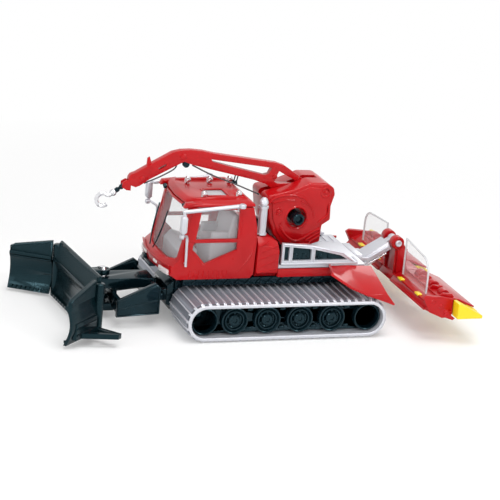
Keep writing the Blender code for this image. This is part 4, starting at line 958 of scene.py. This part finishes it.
def winchBoom():
    shapes = [softened("boom", 0.4, 3)]
    # pins and sheaves along the boom
    for y, z, radius in ((-44.6, 77.6, 1.6), (-64.0, 67.0, 1.4), (1.6, 67.6, 1.3)):
        for sign in sides.values():
            shapes.append(turned([(-0.3, 0), (-0.3, radius), (0.35, radius - 0.1), (0.5, radius - 0.5), (0.5, 0)],
                                 (sign * 1.65, y, z), (sign, 0, 0), 20))
    settled(shapes, "boom_beam", "red_paint", "winch", ["boom"])
    sheave = [(-0.8, 0), (-0.8, 1.6), (-0.3, 1.1), (0.3, 1.1), (0.8, 1.6), (0.8, 0)]
    settled([turned(sheave, (0, -42.6, 73.6), (1, 0, 0), 24)], "boom_sheave", "black_plastic", "winch")


def winchDrum():
    end = winchSize["shaft"]
    section = [(-end + 1.4, 0), (-end + 1.4, 1.2), (-end + 0.5, 1.5), (-end, 1.8), (-end, 2.3), (-end + 0.4, 2.8),
               (-end + 1.6, 2.9), (-end + 1.9, 2.6), (end - 1.9, 2.6), (end - 1.6, 2.9), (end - 0.4, 2.8), (end, 2.3),
               (end, 1.8), (end - 0.5, 1.5), (end - 1.4, 1.2), (end - 1.4, 0)]
    shaft = turned(section, (0, winchSize["drumY"], winchSize["drumZ"]), (1, 0, 0), 32)
    settled(shaft, "winch_shaft", "black_plastic", "drum", ["winch_drum"])


winchHousing()
winchBoom()
winchDrum()


# a chunky hook under a ball, hanging from its ferrule at the boom's nose
def liftHook():
    pivot = Vector((0, -71.6, 64.0))
    away = Vector((0, -10.6, -7.6)).normalized()
    ball = [(-1.7, 0)] + [(1.7 * math.cos(math.radians(a)), 1.7 * math.sin(math.radians(a))) for a in range(162, 10, -18)] + [(1.7, 0)]
    shapes = [turned(ball, pivot + away * 6.6, away, 24)]
    shapes.append(turned([(0, 0), (0, 1.1), (1.4, 0.9), (1.6, 0)], pivot + away * 7.8, away, 20))
    centre = pivot + away * 12.4
    start = math.atan2(-away.z, -away.y)
    curl = [tuple(pivot + away * 8.6)]
    for i in range(12):
        angle = start + math.radians(12 + 24 * i)
        curl.append((0, centre.y + 3.0 * math.cos(angle), centre.z + 3.0 * math.sin(angle)))
    shapes.append(bent(curl, 1.0, smooth=True, sides=3))
    settled(shapes, "hook_bar", "bright_chrome", "hook", ["hook"])
    ferrule = [(-0.6, 0), (-0.6, 0.9), (0.6, 1.2), (2.4, 1.2), (2.8, 0.8), (3.4, 0.8), (3.8, 1.2), (5.2, 1.1), (5.6, 0.6), (5.6, 0)]
    settled(turned(ferrule, pivot, away, 20), "hook_swivel", "black_plastic", "hook", ["hook_ferrule"])


liftHook()
print("winch made")


# front blade: it stands turned a little to the left, with both wings folded ahead
bladeSize = {"postY": -79.0, "frontY": -93.6, "backY": -92.1, "hingeX": 28.0, "hingeY": -91.2, "yaw": 5.0, "fold": 53.0,
             "half": 25.8, "near": 30.2, "far": 51.0, "foot": 1.6, "top": 19.0, "guard": 28.0}


def about(x, y, degrees):
    centre = spot(x, y, 0)
    return Matrix.Translation(centre) @ Matrix.Rotation(math.radians(degrees), 4, "Z") @ Matrix.Translation(-centre)


def bladeTurn():
    return about(0, bladeSize["postY"], bladeSize["yaw"])


def wingTurn(sign):
    return bladeTurn() @ about(sign * bladeSize["hingeX"], bladeSize["hingeY"], -sign * bladeSize["fold"])


def moved(shapes, matrix):
    for obj in shapes:
        obj.data.transform(matrix)
    return shapes


# a run of small teeth along the foot of a mouldboard
def teeth(low, high, count):
    step = (high - low) / count
    out = []
    for i in range(count):
        x = low + i * step
        foot = [(x + step * 0.06, 3.4), (x + step * 0.3, 1.9), (x + step * 0.6, 1.7), (x + step * 0.84, 2.6), (x + step * 0.94, 3.8)]
        y = bladeSize["frontY"]
        out.append(bevelled(cutOut(foot, "Y", y - 1.2, y - 0.3), 0.2, 2))
    return out


# the back of the curved board at a height
def boardBack(z):
    t = (z - bladeSize["foot"]) / (bladeSize["top"] - bladeSize["foot"])
    return bladeSize["backY"] + 2.4 * math.sin(math.pi * t) - 0.8 * (1 - t)


# a board with its hollow front cleared of the box behind it
def hollowed(node, low, high, turn):
    foot, top = bladeSize["foot"], bladeSize["top"]
    heights = [foot + (top - foot) * i / 8 for i in range(8)] + [top - 0.2]
    face = [(boardBack(z) - 1.56, z) for z in heights]
    ahead = bladeSize["frontY"] - 5.0
    cutter = cutOut([(ahead, foot)] + face + [(ahead, heights[-1])], "X", low, high)
    cutter.data.transform(turn)
    return carved(softened(node, 0.2, 2), cutter)


def bladeCentre():
    half = bladeSize["half"]
    front = bladeSize["frontY"]
    back = bladeSize["backY"]
    extra = teeth(-half + 0.4, half - 0.4, 16)
    for x in (-22.0, -16.6, 16.6, 22.0):
        rib = [(boardBack(z) - 0.5, z) for z in (2.6, 5.6, 8.6, 11.6, 14.6, 17.8)]
        rib += [(boardBack(z) + 1.7, z) for z in (16.0, 11.6, 8.6, 4.6)]
        extra.append(bevelled(cutOut(rib, "X", x - 0.5, x + 0.5), 0.15, 1))
    extra.append(bent([(-half + 0.2, front - 0.5, 20.2), (half - 0.2, front - 0.5, 20.2)], 0.45))
    extra.append(bent([(-half + 0.2, front + 3.2, 28.0), (half - 0.2, front + 3.2, 28.0)], 0.75))
    extra.append(bent([(-half + 0.2, front + 3.6, 18.8), (half - 0.2, front + 3.6, 18.8)], 0.5))
    for sign in sides.values():
        cover = [(1.9, 0), (1.9, 1.9), (2.3, 2.25), (25.8, 2.25), (26.2, 1.9), (26.2, 0)]
        extra.append(turned(cover, (sign * bladeSize["hingeX"], bladeSize["hingeY"], 0), (0, 0, 1), 24))
    for x in (-24.9, 24.9):
        extra.append(bent([(x, front - 0.1, 19.6), (x, front + 2.4, 27.8)], 0.5))
        extra.append(bent([(x, front + 3.6, 18.8), (x, front + 3.9, 27.8)], 0.5))
    moved(extra, bladeTurn())
    settled([hollowed("blade_centre", 0.1 - half, half - 0.1, bladeTurn())] + extra, "blade_middle", "blade_plastic", "blade", ["blade_centre"])
    panel = cutOut([(front, 19.9), (front + 2.25, 27.4), (front + 2.5, 27.4), (front + 0.4, 19.9)], "X", 0.6 - half, half - 0.6)
    rear = cutOut([(front + 3.0, 19.2), (front + 3.2, 27.4), (front + 3.9, 27.4), (front + 3.55, 19.2)], "X", 0.6 - half, half - 0.6)
    settled(moved([panel, rear], bladeTurn()), "blade_guard_mesh", "guard_mesh", "blade")


def bladeWing(side):
    sign = sides[side]
    near, far = bladeSize["near"], bladeSize["far"]
    front = bladeSize["frontY"]
    back = bladeSize["backY"]
    low, high = sorted((sign * (near + 0.4), sign * (far - 0.5)))
    extra = teeth(low, high, 9)
    extra.append(bent([(sign * (near + 0.2), front - 0.45, 20.2), (sign * (far - 0.3), front - 0.45, 20.2)], 0.45))
    extra.append(bent([(sign * (near + 0.2), front + 0.2, 18.0), (sign * (far - 0.3), front + 0.2, 18.0)], 0.3))
    frame = [(near + 0.3, 27.6), (far - 2.0, 23.2), (far - 0.5, 22.2), (far - 0.5, 18.6)]
    for y in (front + 0.3, back + 0.4):
        extra.append(bent([(sign * x, y, z) for x, z in frame], 0.4))
    for z in (6.4, 9.6):
        a, b = sorted((sign * (near + 1.4), sign * (far - 3.4)))
        extra.append(bevelled(block((a, back + 2.3, z - 0.5), (b, back + 3.0, z + 0.5)), 0.15, 1))
    moved(extra, wingTurn(sign))
    low, high = sorted((sign * (near + 0.1), sign * (far - 0.1)))
    settled([hollowed(f"blade_wing_{side}", low, high, wingTurn(sign))] + extra, f"blade_wing_board_{side}", "blade_plastic", f"wing_{side}",
            [f"blade_wing_{side}"])
    outline = [(near + 0.8, 20.4), (far - 1.0, 20.4), (far - 1.0, 22.0), (far - 2.2, 22.7), (near + 0.8, 26.9)]
    outline = [(sign * x, z) for x, z in outline]
    panels = [cutOut(outline, "Y", front + 0.12, front + 0.6), cutOut(outline, "Y", back + 0.2, back + 0.55)]
    settled(moved(panels, wingTurn(sign)), f"wing_guard_mesh_{side}", "guard_mesh", f"wing_{side}")


def pushFrame():
    shapes = [softened("push_frame", 0.3, 2)]
    plate = [(-56.4, 7.0), (-56.4, 19.4), (-58.6, 21.0), (-76.0, 13.0), (-76.0, 6.0), (-56.4, 7.0)]
    for sign in sides.values():
        shapes.append(bent([(sign * 19.0, y, z) for y, z in plate], 0.45))
        shapes.append(bent([(sign * 18.9, -57.0, 13.4), (sign * 18.9, -75.6, 9.6)], 0.5))
        shapes.append(bent([(sign * 11.4, -55.6, 9.6), (sign * 11.4, -75.0, 7.6)], 0.9))
        cap = [(-0.4, 0), (-0.4, 1.7), (0.5, 1.6), (0.8, 1.1), (0.8, 0)]
        shapes.append(turned(cap, (sign * 11.6, -53.5, 12.5), (sign, 0, 0), 20))
    settled(shapes, "push_frame_body", "black_plastic", "blade_frame", ["push_frame"])
    post = [(4.4, 0), (4.4, 2.0), (22.6, 2.0), (23.2, 1.7), (24.0, 1.5), (24.0, 0)]
    settled(turned(post, (0, bladeSize["postY"], 0), (0, 0, 1), 28), "blade_pin", "bright_chrome", "blade_frame", ["blade_post"])


bladeCentre()
pushFrame()
for side in sides:
    bladeWing(side)
print("blade made")


# rear tiller
tillerSize = {"eyeY": 67.0, "eyeZ": 34.8, "armY": 50.6, "armZ": 25.2}


def liftArm():
    eyeY, eyeZ = tillerSize["eyeY"], tillerSize["eyeZ"]
    arm = [softened("lift_arm", 0.35, 3)]
    for sign in sides.values():
        head = [(-0.5, 0), (-0.5, 1.6), (0.3, 1.6), (0.6, 1.2), (0.3, 0.8), (0.3, 0)]
        arm.append(turned(head, (sign * 7.5, eyeY, eyeZ), (sign, 0, 0), 24))
        arm.append(bent([(sign * 4.6, 52.6, 26.4), (sign * 4.6, 62.6, 32.2)], 0.5))
    settled(arm, "tiller_arm_casting", "silver_plastic", "tiller_arm", ["lift_arm"])
    low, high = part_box("lift_rod")
    start = Vector((3.0, low.y / mm - trackMiddle + 0.4, low.z / mm + 0.8))
    end = Vector((3.0, high.y / mm - trackMiddle - 0.4, high.z / mm - 0.8))
    along = (end - start).normalized()
    length = (end - start).length
    section = [(0, 0), (0, 0.9), (length * 0.62, 0.9), (length * 0.64, 0.55), (length, 0.55), (length, 0)]
    settled(turned(section, start, along, 20), "tiller_ram", "bright_chrome", "tiller_arm", ["lift_rod"])


def tillerBracket():
    shapes = [softened("tiller_bracket", 0.5, 3)]
    for sign in sides.values():
        ring = [(-0.2, 1.4), (-0.2, 3.0), (0.25, 2.9), (0.35, 2.5), (0.1, 1.5)]
        shapes.append(turned(ring, (sign * 6.9, tillerSize["eyeY"], tillerSize["eyeZ"]), (sign, 0, 0), 32))
        shapes.append(bevelled(block((sign * 5.4 - 0.6, 66.4, 18.4), (sign * 5.4 + 0.6, 68.0, 31.0)), 0.3))
    settled(shapes, "tiller_fork", "red_paint", "tiller", ["tiller_bracket"])


def tillerHalf(side):
    sign = sides[side]
    eye = tillerSize["eyeY"]
    shapes = [softened(f"tiller_half_{side}", 0.4, 3)]

    def along(y, z, low, high, radius):
        shapes.append(bent([(sign * low, eye + y, z), (sign * high, eye + y, z)], radius))

    along(-0.6, 19.1, 8.0, 49.0, 0.5)
    along(5.4, 21.6, 8.0, 49.0, 0.35)
    along(-2.3, 16.4, 8.0, 49.0, 0.5)
    along(13.2, 20.9, 8.0, 49.0, 0.4)
    flap = [(12.4, 21.3), (15.6, 20.7), (23.9, 17.0), (23.7, 16.3), (15.0, 19.4), (12.4, 20.2)]
    low, high = sorted((sign * 7.6, sign * 48.8))
    shapes.append(bevelled(cutOut([(eye + y, z) for y, z in flap], "X", low, high), 0.3, 3))
    for x in (21.0, 34.5, 46.0):
        rib = [(eye + 5.0, 21.3), (eye + 7.6, 23.4), (eye + 12.4, 22.8), (eye + 16.4, 17.6), (eye + 13.0, 20.6)]
        low, high = sorted((sign * x, sign * (x + 1.0)))
        shapes.append(bevelled(cutOut(rib, "X", low, high), 0.2))
    # the hooked end plate's rim
    rim = [(-3.4, 22.2), (-1.8, 23.2), (5.6, 22.4), (11.4, 21.2), (11.6, 14.1), (9.9, 12.6), (7.0, 12.4), (0.2, 15.4), (-3.4, 22.2)]
    shapes.append(bent([(sign * 50.2, eye + y, z) for y, z in rim], 0.35))
    prong = [(7.4, 12.7), (12.4, 10.9), (13.6, 11.8), (11.4, 13.4), (11.5, 15.6), (8.6, 15.4)]
    low, high = sorted((sign * 49.4, sign * 50.9))
    shapes.append(bevelled(cutOut([(eye + y, z) for y, z in prong], "X", low, high), 0.3, 3))
    settled(shapes, f"tiller_body_{side}", "red_paint", "tiller", [f"tiller_half_{side}"])
    bolts = []
    for y, z in ((1.6, 20.6), (5.8, 18.2), (8.6, 15.4)):
        section = [(-0.3, 0), (-0.3, 1.1), (0.2, 1.1), (0.5, 0.7), (0.5, 0)]
        bolts.append(turned(section, (sign * 50.3, eye + y, z), (sign, 0, 0), 16))
    settled(bolts, f"tiller_bolts_{side}", "red_paint", "tiller")


def tillerComb(side):
    sign = sides[side]
    eye = tillerSize["eyeY"]
    shapes = [softened(f"tiller_comb_{side}", 0.35, 3)]
    for i in range(22):
        x = 9.0 + i * 1.9
        low, high = sorted((sign * x, sign * (x + 0.9)))
        rib = [(eye + 18.8, 17.4), (eye + 19.6, 17.95), (eye + 25.1, 14.95), (eye + 25.1, 13.6), (eye + 24.0, 14.0)]
        shapes.append(cutOut(rib, "X", low, high))
    # tabs at the foot of the shield
    for x in (13.0, 34.0):
        low, high = sorted((sign * x, sign * (x + 4.4)))
        shapes.append(bevelled(block((low, eye - 1.2, 18.9), (high, eye + 1.2, 19.9)), 0.25))
    settled(shapes, f"tiller_comb_blade_{side}", "yellow_plastic", "tiller", [f"tiller_comb_{side}"])


def tillerShield(side):
    sign = sides[side]
    y = tillerSize["eyeY"] + 2.1
    settled(softened(f"tiller_shield_{side}", 0.12, 1), f"shield_sheet_{side}", "clear_plastic", "tiller", [f"tiller_shield_{side}"])
    edge = [(12.0, 20.8), (12.0, 38.9), (33.6, 37.0)] + arc((33.0, 30.0), 7.0, 80, 0, 6) + [(40.0, 20.8)]
    settled(bent([(sign * x, y, z) for x, z in edge], 0.5), f"shield_edge_{side}", "clear_edge", "tiller")


liftArm()
tillerBracket()
for side in sides:
    tillerHalf(side)
    tillerComb(side)
    tillerShield(side)
print("tiller made")


def lookFrom(place, aim, roll, lens):
    camera = bpy.data.objects.new("camera", bpy.data.cameras.new("camera"))
    bpy.context.collection.objects.link(camera)
    camera.location = place
    turn = (Vector(aim) - Vector(place)).to_track_quat("-Z", "Y")
    camera.rotation_euler = (turn @ Quaternion((0, 0, 1), math.radians(roll))).to_euler()
    camera.data.lens = lens
    camera.data.sensor_width = 36.0
    camera.data.clip_start = 0.01
    bpy.context.scene.camera = camera


view = {"place": (0.9754, -0.3714, 0.3707), "reach": (-0.8872, 0.3421, -0.3094), "roll": 5.6, "lens": 166.0}
lookFrom(view["place"], Vector(view["place"]) + Vector(view["reach"]), view["roll"], view["lens"])


def softbox(name, place, aim, size, power):
    lamp = bpy.data.lights.new(name, "AREA")
    lamp.shape = "RECTANGLE"
    lamp.size = size[0]
    lamp.size_y = size[1]
    lamp.energy = power
    obj = bpy.data.objects.new(name, lamp)
    bpy.context.collection.objects.link(obj)
    obj.location = place
    obj.rotation_euler = (Vector(aim) - Vector(place)).to_track_quat("-Z", "Y").to_euler()


def studio():
    light = {"top": 4.8, "front": 1.4, "side": 1.8, "rim": 1.0, "strip": 2.4, "upright": 1.5, "world": 0.30}
    softbox("top_box", (0.15, 0.05, 0.9), (0, 0, 0.02), (0.6, 0.6), light["top"])
    softbox("front_box", (0.3, -0.8, 0.4), (0, 0, 0.03), (0.25, 0.5), light["front"])
    softbox("side_box", (0.85, 0.45, 0.32), (0, 0, 0.03), (0.14, 0.5), light["side"])
    softbox("rim_box", (-0.6, 0.5, 0.5), (0, 0, 0.03), (0.3, 0.3), light["rim"])
    # two narrow lamps draw crisp lines of light along the edges
    softbox("strip_box", (0.70, -0.20, 0.75), (0, 0, 0.03), (0.9, 0.04), light["strip"])
    softbox("upright_box", (0.80, -0.70, 0.25), (0, 0, 0.03), (0.04, 0.5), light["upright"])

    world = bpy.data.worlds.new("studio")
    world.use_nodes = True
    bpy.context.scene.world = world
    tree = world.node_tree
    seen = seenRays(tree)
    strength = seen * (1.0 - light["world"]) + light["world"]
    back = tree.nodes["Background"]
    back.inputs["Color"].default_value = (1, 1, 1, 1)
    tree.links.new(strength.socket, back.inputs["Strength"])


# 1 for the rays that show the background: to the camera, in gloss and through glass
def seenRays(tree):
    path = tree.nodes.new("ShaderNodeLightPath")
    seen = Wire(tree, path.outputs["Is Camera Ray"]).math("MAXIMUM", Wire(tree, path.outputs["Is Glossy Ray"]))
    return seen.math("MAXIMUM", Wire(tree, path.outputs["Is Transmission Ray"]))


# a pale floor that keeps the shadow near the machine and turns plain white away from it
def paleFloor():
    look = {"near": 0.15, "far": 0.34}
    bpy.ops.mesh.primitive_plane_add(size=6.0, location=(0, 0, 0))
    floor = bpy.context.object
    floor.name = "floor"
    f = Finish("floor", Roughness=0.7)
    f.feed(colour=f.blend(f.noise(4.0), (0.93, 0.93, 0.93), (0.95, 0.95, 0.95)))
    reach = f.node("ShaderNodeVectorMath", {"operation": "LENGTH"}, 1, _0=f.place)
    away = ((reach - look["near"]) / (look["far"] - look["near"])).math("MAXIMUM", 0.0).math("MINIMUM", 1.0)
    white = f.node("ShaderNodeEmission", Color=(1, 1, 1, 1), Strength=1.0)
    shade = Wire(f.tree, f.shader.outputs["BSDF"])
    mixed = f.node("ShaderNodeMixShader", None, 0, _0=seenRays(f.tree) * (away * 0.75 + 0.25), _1=shade, _2=white)
    f.tree.links.new(mixed.socket, f.tree.nodes["Material Output"].inputs["Surface"])
    floor.data.materials.append(f.material)


bpy.ops.object.select_all(action="DESELECT")
studio()
paleFloor()
bpy.context.scene.view_settings.view_transform = "Standard"
print("studio set")
